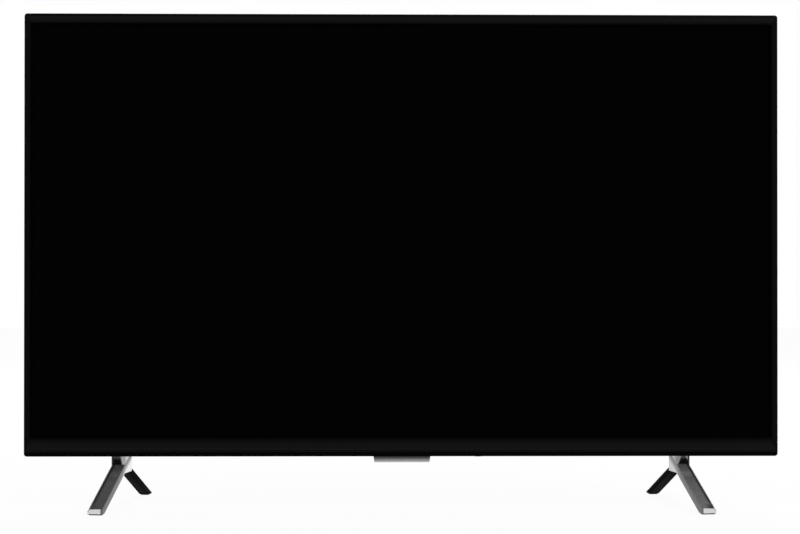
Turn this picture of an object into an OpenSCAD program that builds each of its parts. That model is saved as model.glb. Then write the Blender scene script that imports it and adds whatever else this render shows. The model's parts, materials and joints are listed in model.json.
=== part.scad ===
// Flat-panel television on two splayed feet, built from the pieces that come apart on a bench.
// Millimetres. X runs to the viewer's right, Y from the screen towards the back, Z is up.
// The origin is on the table, midway between the noses and the heels of the feet.
// Inside the body, places are given as [x, depth behind the bezel's front, height above its lower edge].

/* [Body] */
// Width of the body
body_w = 733; // [720:1:780]
// Height of the body without its feet
body_h = 430; // [420:1:470]
// Depth from the bezel's front to the back of the housing
body_depth = 76; // [69:1:90]
// Height of the body's lower edge above the table
body_lift = 52; // [48:1:70]
// Radius of the body's four corners
corner_r = 3; // [1:0.5:6]
// Clearance between pieces that drop into one another
fit = 0.3; // [0.2:0.05:0.4]

/* [Bezel] */
// Visible width of the bezel at each side
bezel_side = 6.3; // [5.8:0.1:9]
// Visible height of the bezel along the top
bezel_top = 9.7; // [8:0.1:14]
// Visible height of the chin along the bottom
bezel_chin = 18; // [17:0.5:24]
// Width of the outer chamfer at the sides and the top
rim_w = 2.5; // [1.5:0.1:3.5]
// Height of the chin's lower chamfer
chin_rim = 5.4; // [4:0.1:7]
// Depth of the outer chamfer
rim_drop = 2; // [1:0.1:2.5]
// Width of the flat ridge between the bezel's two slopes
ridge_w = 0.6; // [0.3:0.1:1]
// Depth of the slope that leads down to the screen
bezel_rise = 1.2; // [0.6:0.1:1.6]
// Thickness of the lip over the glass
bezel_lip = 1.8; // [1.4:0.1:2.4]
// Wall of the bezel's skirt
skirt_wall = 2; // [1.4:0.1:2.2]
// Depth of the bezel, back to the rear cover's edge
bezel_depth = 9; // [8.5:0.1:12]

/* [Display] */
// Thickness of the glass panel
cell_t = 1.4; // [1:0.1:1.8]
// How far the glass reaches under the bezel's lip
cell_lap = 2.2; // [1.5:0.1:2.4]
// Thickness of the middle frame behind the glass
frame_t = 2; // [1.5:0.1:3]
// Thickness of each optical film
film_t = 0.4; // [0.2:0.1:0.6]
// Thickness of the diffuser plate
plate_t = 1.6; // [1.2:0.1:2]
// Depth of the steel pan's light box
light_box = 21; // [18:0.5:24]
// Sheet of the steel pan
pan_t = 0.6; // [0.5:0.1:1]
// Slope of the pan's side walls, measured sideways
pan_slope = 14; // [8:1:20]
// Number of LED strips
strip_count = 3; // [2:1:4]
// Number of LEDs on a strip
led_count = 7; // [5:1:9]
// Height of an LED strip
strip_h = 14; // [12:1:18]
// Thickness of an LED strip
strip_t = 1.2; // [1:0.1:1.6]
// Radius of an LED lens
lens_r = 7.5; // [6:0.5:9]
// Height of an LED lens
lens_h = 6; // [5:0.5:8]

/* [Rear cover] */
// Wall of the moulded rear cover
cover_wall = 2.5; // [2:0.1:2.8]
// Depth at which the cover's straight rim ends
rim_depth = 24; // [20:1:28]
// Depth of the cover's upper plane
plane_depth = 44; // [42:1:48]
// How far the slope from rim to plane runs inward
plane_inset = 30; // [20:1:32]
// Distance of the housing from the body's side
hump_margin = 66.5; // [63.5:0.5:71.5]
// Height of the housing at its foot
hump_h = 290; // [282:1:300]
// How far the housing's top slope runs inward
hump_slope = 30; // [20:1:34]
// Lean of the housing's sides, inward for each step of depth
hump_lean = 0.375; // [0.25:0.005:0.43]
// Chamfer along the housing's lower rear edge
hump_bevel = 8; // [5:0.5:9]
// Width of a vent slot
vent_w = 2.6; // [1.8:0.1:3.2]
// Pitch of the vent slots
vent_pitch = 6.5; // [5.5:0.1:9]
// Radius of a cover screw's head
cover_head_r = 3.4; // [3:0.1:3.8]
// Radius of a cover screw's shank
cover_shank_r = 1.5; // [1.2:0.1:1.8]

/* [Wall mount] */
// Spacing of the wall-mount bushes, sideways and upwards
vesa = 100; // [96:1:104]
// Height of the wall-mount's centre above the body's lower edge
vesa_z = 180; // [175:1:190]
// Outer radius of a wall-mount bush
bush_r = 6; // [5:0.5:7]
// Thread radius of a wall-mount bush
bush_bore_r = 2.1; // [1.9:0.1:2.6]
// Depth of the thread in a bush
bush_thread = 14; // [10:1:20]

/* [Boards and ports] */
// Distance of the main board's port wall from the middle
port_wall_x = 205; // [202:1:208]
// Height of the wall above the downward ports
port_wall_z = 55; // [54:1:60]
// Lower end of the side bay
side_bay_z = 72; // [70:1:78]
// Height of the side bay
side_bay_h = 156; // [150:1:158]
// Width of the downward bay
down_bay_w = 80; // [78:1:81]
// Width of the mains inlet's bay
mains_bay_w = 58; // [50:1:66]
// Thickness of the circuit boards
board_t = 1.6; // [1:0.1:2]
// Width of the main and power boards
board_w = 136; // [134:1:140]
// Height of the main board
main_board_h = 160; // [158:1:166]
// Height of the power board
power_board_h = 150; // [144:1:160]
// Height of the standoffs under the boards
standoff_h = 10; // [9:0.5:11]
// Radius of a standoff
standoff_r = 3; // [2.5:0.1:3.5]
// Radius of a board screw's shank
board_screw_r = 1.2; // [1:0.1:1.4]

/* [Speakers] */
// Height of a speaker box
speaker_h = 42; // [38:1:44]
// Wall of a speaker box
speaker_wall = 2; // [1.5:0.1:2.5]
// Width of the rubber surround
surround_w = 3; // [2:0.1:3]
// Width of the driver's flange outside the surround
driver_flange = 1.5; // [1:0.1:1.6]
// Thickness of the foam ring between driver and cover
gasket_t = 2; // [1.5:0.1:3]

/* [Controls] */
// Width of the sensor window under the chin
sensor_w = 55.5; // [40:0.5:60]
// How far the sensor window hangs below the chin
sensor_drop = 6; // [4:0.5:8]
// Thickness of the sensor window
sensor_t = 4; // [3:0.1:4.2]
// Radius of the power button
button_r = 4.5; // [3.5:0.1:5]
// How far the power button stands out
button_out = 1.5; // [1.2:0.1:2]
// Distance of the power button from the middle
button_x = 75; // [70:1:85]

/* [Stand] */
// Depth of a foot in front of the neck's middle, to the nose
leg_front = 89; // [80:1:100]
// Depth of a foot behind the neck's middle, to the heel
leg_back = 98; // [80:1:110]
// Depth of the neck's middle behind the bezel's front
neck_depth = 48.5; // [47:0.5:50]
// Distance of a foot's middle from the body's side
leg_inset = 87.5; // [86.5:0.5:90.5]
// Angle by which a foot is turned outward
leg_angle = 9.1; // [0:0.1:12]
// Width of the front leg
leg_w = 12.5; // [11:0.5:14]
// Further width on the front leg's inner side
leg_in = 2; // [0:0.5:3]
// Thickness of the front leg
leg_t = 8; // [7:0.5:9]
// Length of the neck that enters the body
neck_len = 24; // [22:1:28]
// How far the neck enters the body
neck_in = 14; // [12:1:16]
// Height of the bend between neck and front leg
bend_z = 41; // [38:1:44]
// Height of the front leg's blunt nose
nose_h = 6; // [5:0.5:6.5]
// Chamfer along the front leg's outer edge
leg_chamfer = 2.2; // [1.5:0.1:2.5]
// Width of the rear strut
strut_w = 10; // [7:0.5:11]
// Thickness of the rear strut
strut_t = 5.5; // [5:0.5:6]
// How far under the bend the rear strut leaves the neck
strut_low = 2; // [1.5:0.5:2.5]
// Height of the strut's blunt heel
heel_h = 1.5; // [1.2:0.1:3]
// Thickness of the rubber pads
pad_t = 0.8; // [0.6:0.1:1.2]
// Sheet of the stand brackets
bracket_t = 3; // [2:0.1:4]
// Spacing of a leg's two screws
leg_screw_gap = 10; // [9.5:0.1:11]
// Radius of a leg screw's shank
leg_screw_r = 2; // [1.8:0.1:2.2]

/* [Hidden] */
$fn = 48;

// Depths of the display stack, front to back
cell_y = bezel_rise + bezel_lip;
frame_y = cell_y + cell_t;
prism_y = frame_y + frame_t;
diffuser_y = prism_y + film_t;
plate_y = diffuser_y + film_t;
pan_y = plate_y + plate_t;
pan_floor = pan_y + light_box;
pan_back = pan_floor + pan_t;
board_y = pan_back + standoff_h;
board_back = board_y + board_t;
strip_y = pan_floor - strip_t;

// Outlines as [left, right, bottom, top]
function grow(r, g) = [r[0] - g, r[1] + g, r[2] - g, r[3] + g];
body_rect = [-body_w / 2, body_w / 2, 0, body_h];
window_rect = [-body_w / 2 + bezel_side, body_w / 2 - bezel_side, bezel_chin, body_h - bezel_top];
cell_rect = grow(window_rect, cell_lap);
frame_wall = bezel_side - cell_lap - max(skirt_wall, cover_wall) - 2 * fit;
frame_rect = grow(cell_rect, fit + frame_wall);
frame_lip = 4;
light_rect = grow(window_rect, -frame_lip);
mouth_inset = 6;
mouth_rect = grow(window_rect, -mouth_inset);
floor_rect = grow(mouth_rect, -pan_slope);
floor_z = (floor_rect[2] + floor_rect[3]) / 2;
floor_h = floor_rect[3] - floor_rect[2];

// Where the body stands over the table, and where its feet and housing are
neck_y = (leg_front - leg_back) / 2;
front_y = neck_y - neck_depth;
leg_x = body_w / 2 - leg_inset;
hump_w = body_w - 2 * hump_margin;
hump_rise = body_depth - plane_depth;
hump_side = hump_lean * hump_rise;
// Height of the tallest board parts, clear of the cover
part_gap = 6.5;
tall_part = body_depth - cover_wall - board_back - part_gap;

// A shape drawn in X and Z, from one depth to another
module deep(y0, y1) { translate([0, y1, 0]) rotate([90, 0, 0]) linear_extrude(y1 - y0) children(); }
// A shape drawn in X and depth, from one height to another
module tall(z0, z1) { translate([0, 0, z0]) linear_extrude(z1 - z0) children(); }
// A shape drawn in depth and height, from one side to another
module wide(x0, x1) { translate([x0, 0, 0]) rotate([90, 0, 90]) linear_extrude(x1 - x0) children(); }
// A rod along the depth, along the height or along the width
module rod_y(x, z, y0, y1, r) { translate([x, y1, z]) rotate([90, 0, 0]) cylinder(h = y1 - y0, r = r); }
module rod_z(x, y, z0, z1, r) { translate([x, y, z0]) cylinder(h = z1 - z0, r = r); }
module rod_x(y, z, x0, x1, r) { translate([x0, y, z]) rotate([0, 90, 0]) cylinder(h = x1 - x0, r = r); }
// A box between two corners
module box(a, b) { translate(a) cube(b - a); }
module rect(r) { translate([r[0], r[2]]) square([r[1] - r[0], r[3] - r[2]]); }
module slab(r, y0, y1) { deep(y0, y1) rect(r); }
module round_rect(r, c) {
    rect([r[0] + c, r[1] - c, r[2], r[3]]);
    rect([r[0], r[1], r[2] + c, r[3] - c]);
    for (x = [r[0] + c, r[1] - c], z = [r[2] + c, r[3] - c]) translate([x, z]) circle(c);
}
// A block whose outline changes evenly from a to b between two depths
module taper(a, b, y0, y1) {
    low = min(a[2], b[2]);
    high = max(a[3], b[3]);
    left = min(a[0], b[0]);
    right = max(a[1], b[1]);
    intersection() {
        tall(low, high) polygon([[a[0], y0], [a[1], y0], [b[1], y1], [b[0], y1]]);
        wide(left, right) polygon([[y0, a[2]], [y1, b[2]], [y1, b[3]], [y0, a[3]]]);
    }
}
module in_body() { translate([0, front_y, body_lift]) children(); }
module both_sides() { for (side = [0, 1]) mirror([side, 0, 0]) children(); }

// Front of the set

cut = 1;
sensor_y = cell_y + fit * 3;
sensor_taper = 1;

module front_bezel() {
    ridge = [-body_w / 2 + rim_w, body_w / 2 - rim_w, chin_rim, body_h - rim_w];
    color("#141416") in_body() difference() {
        intersection() {
            union() {
                taper(ridge, body_rect, 0, rim_drop);
                slab(body_rect, rim_drop, bezel_depth);
            }
            deep(-cut, bezel_depth + cut) round_rect(body_rect, corner_r);
        }
        taper(grow(ridge, -ridge_w), window_rect, 0, bezel_rise);
        slab(window_rect, bezel_rise, cell_y + cut);
        slab(grow(body_rect, -skirt_wall), cell_y, bezel_depth + cut);
        slab([-sensor_w / 2 - fit, sensor_w / 2 + fit, -cut, skirt_wall + cut],
             sensor_y - fit, sensor_y + sensor_t + fit);
    }
}

module lcd_panel() { color("#050506") in_body() slab(cell_rect, cell_y, frame_y); }

module middle_frame() {
    color("#2b2b2d") in_body() difference() {
        slab(frame_rect, cell_y, pan_y + pan_t);
        slab(grow(cell_rect, fit), cell_y - cut, frame_y);
        slab(light_rect, cell_y, prism_y + cut);
        slab(grow(cell_rect, fit), prism_y, pan_y + pan_t + cut);
        for (x = film_places) slab(
            [x - film_w / 2 - fit, x + film_w / 2 + fit, cell_rect[3], frame_rect[3] + cut],
            cell_y - cut, frame_y);
    }
}

module prism_film() { color("#e8eaec") in_body() slab(cell_rect, prism_y, diffuser_y); }
module diffuser_film() { color("#f2f3f3") in_body() slab(cell_rect, diffuser_y, plate_y); }
module diffuser_plate() { color("#f6f6f4") in_body() slab(cell_rect, plate_y, pan_y); }

// Backlight

reflector_t = 0.4;
lens_hole = 1;
strip_end = 20.2;
strip_len = floor_rect[1] - floor_rect[0] - 2 * strip_end;
strip_gap = floor_h / strip_count;
led_gap = strip_len / led_count;
function strip_z(i) = floor_rect[2] + strip_gap * (i + 0.5);
function led_x(j) = -strip_len / 2 + led_gap * (j + 0.5);
module at_leds() {
    for (i = [0 : strip_count - 1], j = [0 : led_count - 1]) translate([led_x(j), 0, strip_z(i)]) children();
}

module reflector_sheet() {
    base = strip_y;
    share = (base - pan_y) / light_box;
    outer_a = grow(mouth_rect, -fit);
    outer_b = grow(mouth_rect, -fit - pan_slope * share);
    color("#fbfbfa") in_body() difference() {
        taper(outer_a, outer_b, pan_y, base);
        taper(grow(outer_a, -reflector_t), grow(outer_b, -reflector_t), pan_y - 0.001, base - reflector_t);
        at_leds() rod_y(0, 0, pan_y, base + cut, lens_r + lens_hole);
    }
}

module led_strips() {
    color("#dfe3e0") in_body() for (i = [0 : strip_count - 1])
        slab([-strip_len / 2, strip_len / 2, strip_z(i) - strip_h / 2, strip_z(i) + strip_h / 2],
             strip_y, pan_floor);
}

chip_w = 3;
chip_t = 0.8;
lens_cave_r = 3.2;
lens_cave = 1.8;

module led_chips() {
    color("#f4d35e") in_body() at_leds()
        slab([-chip_w / 2, chip_w / 2, -chip_w / 2, chip_w / 2], strip_y - chip_t, strip_y);
}

module led_lenses() {
    flat = 1.5;
    color("#dfe8ee") in_body() at_leds() translate([0, strip_y, 0]) rotate([90, 0, 0]) rotate_extrude()
        polygon([[lens_cave_r, 0], [lens_r, 0], [lens_r, flat], [lens_r * 0.86, lens_h * 0.72],
                 [lens_r * 0.5, lens_h], [0, lens_h * 0.86], [0, lens_cave], [lens_cave_r, lens_cave]]);
}

module back_pan() {
    color("#a9adb0") in_body() difference() {
        union() {
            slab(cell_rect, pan_y, pan_y + pan_t);
            taper(grow(mouth_rect, pan_t), grow(floor_rect, pan_t), pan_y, pan_back);
        }
        taper(mouth_rect, floor_rect, pan_y - 0.001, pan_floor);
        at_cover_screws() rod_y(0, 0, pan_floor - cut, pan_back + cut, cover_shank_r + 0.05);
    }
}

// Panel driver board along the top, with the flexible films that reach it from the glass

film_w = 30;
flex_t = 0.3;
flex_gap = 0.6;
flex_bend = 1;
flex_lead = 4;
flex_land = 3;
panel_board_w = 0.45 * body_w;
panel_board_h = 14;
panel_board_t = 1;
panel_board_drop = 34;
panel_board_z = floor_rect[3] - panel_board_drop;
film_gap = 0.23 * panel_board_w;
film_places = [for (i = [-1.5 : 1 : 1.5]) i * film_gap];

module panel_board() {
    color("#1f5a3a") in_body() {
        slab([-panel_board_w / 2, panel_board_w / 2, panel_board_z, panel_board_z + panel_board_h],
             pan_back, pan_back + panel_board_t);
    }
}

// A thin strip along a list of [depth, height] points
function unit(v) = v / norm(v);
function side_of(p, i) =
    let(a = unit(p[max(i, 1)] - p[max(i, 1) - 1]),
        b = unit(p[min(i, len(p) - 2) + 1] - p[min(i, len(p) - 2)]),
        m = unit(a + b))
    [-m[1], m[0]] / max(0.5, m * a);
module ribbon(p, t) {
    n = len(p);
    polygon([for (i = [0 : n - 1]) p[i] + side_of(p, i) * t / 2,
             for (i = [n - 1 : -1 : 0]) p[i] - side_of(p, i) * t / 2]);
}

module panel_films() {
    top = frame_rect[3];
    start_y = cell_y + cell_t / 2;
    board_face = pan_back + panel_board_t + flex_t / 2;
    route = [[start_y, cell_rect[3]], [start_y, top + flex_gap],
             [start_y + flex_bend, top + flex_gap + flex_bend], [pan_y + flex_lead, top + flex_gap],
             [board_face - flex_bend, floor_rect[3] + 2 * flex_bend], [board_face, floor_rect[3] - flex_land],
             [board_face, panel_board_z + panel_board_h / 2]];
    color("#b5762a") in_body()
        for (x = film_places) wide(x - film_w / 2, x + film_w / 2) ribbon(route, flex_t);
}

// Boards behind the pan

main_x = port_wall_x - cover_wall - fit - board_w;
main_z = port_wall_z + cover_wall + fit;
main_rect = [main_x, main_x + board_w, main_z, main_z + main_board_h];
power_rect = [-main_x - board_w, -main_x, main_rect[2], main_rect[2] + power_board_h];
hole_inset = 6;
board_head_r = 2.6;
board_head_h = 1.8;
function corners(r, g) = [for (x = [r[0] + g, r[1] - g], z = [r[2] + g, r[3] - g]) [x, z]];
board_holes = concat(corners(main_rect, hole_inset), corners(power_rect, hole_inset));

module board_standoffs() {
    color("#c9c9c4") in_body() for (p = board_holes) difference() {
        rod_y(p[0], p[1], pan_back, board_y, standoff_r);
        rod_y(p[0], p[1], pan_back - cut, board_y + cut, board_screw_r + 0.05);
    }
}

module board_screws() {
    shank = 5;
    color("#b8b8b2") in_body() for (p = board_holes) {
        rod_y(p[0], p[1], board_back - shank, board_back + 0.1, board_screw_r);
        rod_y(p[0], p[1], board_back, board_back + board_head_h, board_head_r);
    }
}

module board(r) {
    difference() {
        slab(r, board_y, board_back);
        for (p = corners(r, hole_inset))
            rod_y(p[0], p[1], board_y - cut, board_back + cut, board_screw_r + 0.2);
    }
}
module main_board() { color("#1d5b34") in_body() board(main_rect); }
module power_board() { color("#5a4a1f") in_body() board(power_rect); }

// A part standing on the back of a board, placed from the board's lower left corner
module on_board(r, x, z) { translate([r[0] + x, board_back, r[2] + z]) children(); }
module chip(w, h, t) { translate([-w / 2, 0, -h / 2]) cube([w, t, h]); }
module can(r, h) { rotate([-90, 0, 0]) cylinder(h = h, r = r); }

// Places and sizes of the board parts, counted in pitches
part_pitch = 2;
module block_at(r, p, s) {
    on_board(r, p[0] * part_pitch, p[1] * part_pitch) chip(s[0] * part_pitch, s[1] * part_pitch, s[2]);
}
module can_at(r, p, radius, h) {
    on_board(r, p[0] * part_pitch, p[1] * part_pitch) can(radius * part_pitch, h);
}

soc_at = [48, 92];
soc_w = 26;
soc_t = 2;
chip_h = 1.2;
ribbon_plug = [3, 6, 3];
harness_plug = [8, 3, 6];
harness_edge = 5;
plug_w = 9;
plug_d = 6;
plug_h = 5;

module main_board_chips() {
    color("#232326") in_body() {
        on_board(main_rect, soc_at[0], soc_at[1]) chip(soc_w, soc_w, soc_t);
        for (z = [26, 33]) block_at(main_rect, [22, z], [5.5, 4.5, chip_h]);
        block_at(main_rect, [42, 33], [7, 5, chip_h]);
        block_at(main_rect, [46, 60], [4, 4, chip_h]);
        block_at(main_rect, [35, 17], [15, 11, tall_part * 0.36]);
        for (x = [8, 14]) can_at(main_rect, [x, 60], 2, tall_part * 0.44);
        for (x = [10, 18]) can_at(main_rect, [x, 15], 1.6, tall_part * 0.32);
        block_at(main_rect, [53, 48], [4.5, 4.5, tall_part * 0.16]);
        on_board(main_rect, ribbon_x - main_rect[0], main_board_h - ribbon_w / 4)
            chip(ribbon_w + ribbon_plug[0], ribbon_plug[1], ribbon_plug[2]);
        on_board(main_rect, harness_edge, harness_z - main_rect[2])
            chip(harness_plug[0], harness_w + harness_plug[1], harness_plug[2]);
        for (p = speaker_plugs) on_board(main_rect, p[0], p[1]) chip(plug_w, plug_d, plug_h);
    }
}

module soc_heatsink() {
    size = 42;
    base = 2.5;
    fin_h = tall_part * 0.44;
    fin_t = 1.2;
    fins = 8;
    color("#3a3d40") in_body() on_board(main_rect, soc_at[0], soc_at[1]) translate([0, soc_t, 0]) {
        chip(size, size, base);
        for (i = [0 : fins - 1])
            translate([-size / 2 + (size - fin_t) * i / (fins - 1) + fin_t / 2, base - 0.1, 0])
                chip(fin_t, size, fin_h);
    }
}

// Sockets of the side bay look towards +X, and the others downwards

side_face = port_wall_x;
down_face = port_wall_z;
hdmi_w = 15;
hdmi_h = 5.6;
hdmi_len = 11.5;
hdmi_skin = 0.5;
hdmi_places = [98, 124, 150];
usb_at = 176;
headphone_at = 196;
reset_at = 84;

module hdmi_sockets() {
    color("#8f9396") in_body() for (z = hdmi_places) translate([side_face - hdmi_len, board_back, z]) {
        difference() {
            translate([0, 0, -hdmi_w / 2]) cube([hdmi_len, hdmi_h, hdmi_w]);
            translate([1.5, hdmi_skin, -hdmi_w / 2 + hdmi_skin])
                cube([hdmi_len, hdmi_h - 2 * hdmi_skin, hdmi_w - 2 * hdmi_skin]);
        }
        translate([1.4, hdmi_h * 0.46, -5.5]) cube([hdmi_len - 3, 1, 11]);
    }
}

usb_w = 13.2;
usb_h = 6;
usb_len = 14;

module usb_socket() {
    color("#9a9da0") in_body() translate([side_face - usb_len, board_back, usb_at]) {
        difference() {
            translate([0, 0, -usb_w / 2]) cube([usb_len, usb_h, usb_w]);
            translate([2, 0.4, -usb_w / 2 + 0.4]) cube([usb_len, usb_h - 0.8, usb_w - 0.8]);
        }
        translate([1.9, usb_h - 2.6, -5.2]) cube([usb_len - 4, 1.8, 10.4]);
    }
}

jack_w = 8;
jack_h = 8;
jack_len = 15;
jack_r = 1.8;
jack_depth = 13;

module headphone_socket() {
    color("#1b1b1d") in_body() translate([side_face - jack_len, board_back, headphone_at]) difference() {
        translate([0, 0, -jack_w / 2]) cube([jack_len, jack_h, jack_w]);
        translate([jack_len - jack_depth, jack_h / 2, 0]) rotate([0, 90, 0])
            cylinder(h = jack_depth + cut, r = jack_r);
    }
}

// Reset switch behind a pin hole in the side bay
reset_case = 6;
reset_travel = 0.4;
reset_r = 1.2;
reset_bore = 2.2;
reset_tip = side_face - cover_wall - fit;
reset_face = reset_tip - 1;
pin_hole_r = 1;

module reset_switch() {
    color("#2a2a2c") in_body() difference() {
        box([reset_face - reset_case / 2, board_back, reset_at - reset_case / 2],
            [reset_face, board_back + reset_case, reset_at + reset_case / 2]);
        rod_x(board_back + reset_case / 2, reset_at, reset_face - reset_bore, reset_face + cut,
              reset_r + 0.05);
    }
}

module reset_plunger() {
    color("#c23b2e") in_body()
        rod_x(board_back + reset_case / 2, reset_at, reset_face - reset_bore + 0.2 + reset_travel,
              reset_tip, reset_r);
}

down_bay_x = main_rect[0] + 3.8;
socket_z = main_rect[2];
collar_out = 1;
collar_w = 0.8;
collar_z = down_face - collar_out;
antenna_at = down_bay_x + 13;
antenna_r = 4.7;
antenna_len = 9.5;
antenna_bore_r = 2.4;
antenna_y = board_back + 7;
antenna_pin_r = 0.5;

module antenna_socket() {
    body = 14;
    pin_reach = 5;
    color("#c7b88a") in_body() {
        difference() {
            union() {
                box([antenna_at - body / 2, board_back, socket_z],
                    [antenna_at + body / 2, board_back + body, socket_z + 11]);
                rod_z(antenna_at, antenna_y, collar_z, socket_z + cut, antenna_r + collar_w);
                rod_z(antenna_at, antenna_y, collar_z - antenna_len, collar_z + cut, antenna_r);
            }
            rod_z(antenna_at, antenna_y, collar_z - antenna_len - cut, socket_z + 2, antenna_bore_r);
        }
        rod_z(antenna_at, antenna_y, collar_z - pin_reach, socket_z + 2.5, antenna_pin_r);
    }
}

optical_at = down_bay_x + 31;
optical_w = 10;

module optical_socket() {
    len = 13;
    mouth = 6;
    color("#1e1e20") in_body() difference() {
        box([optical_at - optical_w / 2, board_back, down_face],
            [optical_at + optical_w / 2, board_back + optical_w, down_face + len]);
        box([optical_at - mouth / 2, board_back + (optical_w - mouth) / 2, down_face - cut],
            [optical_at + mouth / 2, board_back + (optical_w + mouth) / 2, down_face + len - 4]);
    }
}

av_pitch = 13;
av_first = down_bay_x + 45;
av_r = 4.15;
av_len = 9;
av_bore_r = 1.65;
av_body = 11;
av_y = board_back + 6.5;

module av_sockets() {
    color("#b7b9ba") in_body() for (i = [0 : 2]) let(x = av_first + av_pitch * i) difference() {
        union() {
            box([x - av_body / 2, board_back, socket_z],
                [x + av_body / 2, board_back + av_body, socket_z + 9]);
            rod_z(x, av_y, collar_z, socket_z + cut, av_r + collar_w);
            rod_z(x, av_y, collar_z - av_len, collar_z + cut, av_r);
        }
        rod_z(x, av_y, collar_z - av_len - cut, down_face + 7, av_bore_r);
    }
}

// Power supply

transformer_at = [60, 84];

module transformer() {
    core_w = 36;
    core_h = 32;
    core_t = tall_part * 0.8;
    side = 7;
    yoke = 5;
    winding = tall_part * 0.12;
    color("#c9a13b") in_body() on_board(power_rect, transformer_at[0], transformer_at[1]) {
        difference() {
            chip(core_w, core_h, core_t);
            translate([0, -cut, 0]) chip(core_w - 2 * side, core_h - 2 * yoke, core_t + 2 * cut);
        }
        chip(core_w - 2 * side - 0.4, core_h - 2 * yoke - 0.4, core_t + winding);
    }
}

module power_board_parts() {
    color("#2c3350") in_body() {
        for (z = [33, 44]) can_at(power_rect, [50, z], 4.5, tall_part);
        for (x = [10, 17]) can_at(power_rect, [x, 61], 2.5, tall_part * 0.64);
        block_at(power_rect, [31, 62], [9, 4, tall_part * 0.56]);
        block_at(power_rect, [10, 30], [8, 17, tall_part * 0.72]);
        on_board(power_rect, board_w - harness_edge, harness_z - power_rect[2])
            chip(harness_plug[0], harness_w + harness_plug[1], harness_plug[2]);
    }
}

module filter_choke() {
    ring_r = 9;
    coat_r = 4;
    color("#a5622a") in_body() on_board(power_rect, 50 * part_pitch, 17 * part_pitch)
        translate([0, coat_r, 0]) rotate([-90, 0, 0]) rotate_extrude() translate([ring_r, 0]) circle(coat_r);
}

mains_inset = 55;
mains_at = power_rect[1] - mains_inset;
mains_w = 26;
mains_h = 19;
mains_len = 20;

module mains_inlet() {
    mouth_r = 4.2;
    mouth_gap = 8.4;
    mouth_depth = 13;
    pin_r = 1.2;
    pin_len = 9;
    mid_y = board_back + mains_h / 2;
    color("#18181a") in_body() {
        difference() {
            box([mains_at - mains_w / 2, board_back, down_face],
                [mains_at + mains_w / 2, board_back + mains_h, down_face + mains_len]);
            for (s = [-1, 1])
                rod_z(mains_at + s * mouth_gap / 2, mid_y, down_face - cut, down_face + mouth_depth, mouth_r);
            box([mains_at - mouth_gap / 2, mid_y - mouth_r * 0.7, down_face - cut],
                [mains_at + mouth_gap / 2, mid_y + mouth_r * 0.7, down_face + mouth_depth]);
        }
        for (s = [-1, 1]) rod_z(mains_at + s * mouth_gap / 2, mid_y, down_face + mouth_depth - pin_len,
                                down_face + mouth_depth + cut, pin_r);
    }
}

module insulator_sheet() {
    sheet_t = 0.4;
    color("#e9e6da") in_body() difference() {
        slab(power_rect, pan_back, pan_back + sheet_t);
        for (p = corners(power_rect, hole_inset))
            rod_y(p[0], p[1], pan_back - cut, pan_back + 2 * cut, standoff_r + fit);
    }
}

// Flat cables

ribbon_w = 30;
ribbon_x = main_rect[0] + 78;
ribbon_t = 0.4;

module ribbon_cable() {
    pan_side = pan_back + panel_board_t + ribbon_t / 2;
    plug_y = board_back + ribbon_plug[2] + ribbon_t / 2;
    route = [[pan_side, panel_board_z + panel_board_h / 2 - 2], [pan_side, main_rect[3] + 30],
             [pan_side + 2, main_rect[3] + 20], [plug_y - 2, main_rect[3] + 8], [plug_y, main_rect[3] + 2],
             [plug_y, main_rect[3] - 10]];
    color("#d9dcdf") in_body() wide(ribbon_x - ribbon_w / 2, ribbon_x + ribbon_w / 2) ribbon(route, ribbon_t);
}

harness_w = 14;
harness_z = main_rect[2] + 36;
harness_t = 2;

module supply_harness() {
    plug_y = board_back + harness_plug[2] + harness_t / 2;
    crown_y = plug_y + harness_w / 2;
    land = harness_plug[0];
    bow = land + 18;
    left = power_rect[1] - land;
    right = main_rect[0] + land;
    route = [[left, plug_y], [left + land, plug_y], [left + bow, crown_y],
             [right - bow, crown_y], [right - land, plug_y], [right, plug_y]];
    color("#c8b04a") in_body()
        tall(harness_z - harness_w / 2, harness_z + harness_w / 2) ribbon(route, harness_t);
}

module wireless_module() {
    drop = 71;
    color("#27415e") in_body() translate([-0.293 * body_w, pan_back, floor_rect[3] - drop]) {
        chip(34, 24, 1.2);
        translate([0, 1.1, 0]) chip(18, 16, 2.6);
    }
}

// Remote sensor and power button, under the chin

module sensor_window() {
    flange = 3;
    flange_h = 4;
    half = sensor_w / 2;
    color("#8c8e90") in_body() deep(sensor_y, sensor_y + sensor_t) {
        polygon([[-half, skirt_wall], [-half, 0], [-half + sensor_taper, -sensor_drop],
                 [half - sensor_taper, -sensor_drop], [half, 0], [half, skirt_wall]]);
        rect([-half - flange, half + flange, skirt_wall, skirt_wall + flange_h]);
    }
}

module sensor_board() {
    back = sensor_y + sensor_t;
    low = max(cover_wall, skirt_wall) + fit;
    color("#1d4d33") in_body() {
        slab([-24, 24, low, bezel_chin - cell_lap - frame_wall - 2 * fit], back, back + 1.2);
        slab([-12, -5, skirt_wall + 4.5, skirt_wall + 9], back - 3, back + 0.1);
        slab([6, 9, skirt_wall + 5, skirt_wall + 8], back - 2, back + 0.1);
    }
}

button_y = bezel_depth + 10;
button_travel = 0.8;
button_hole = 0.3;
button_flange = 1.5;
button_flange_t = 1.2;
button_seat = cover_wall + 0.1;
stem_r = 1.5;
switch_z = button_seat + button_flange_t + 1.7;
switch_w = 7;
switch_h = 3.5;
switch_bore = 2.8;

module power_button() {
    color("#1a1a1c") in_body() {
        rod_z(button_x, button_y, -button_out, button_seat + button_flange_t, button_r);
        rod_z(button_x, button_y, button_seat, button_seat + button_flange_t, button_r + button_flange);
        rod_z(button_x, button_y, button_seat, switch_z + switch_bore - button_travel - 0.2, stem_r);
    }
}

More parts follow.
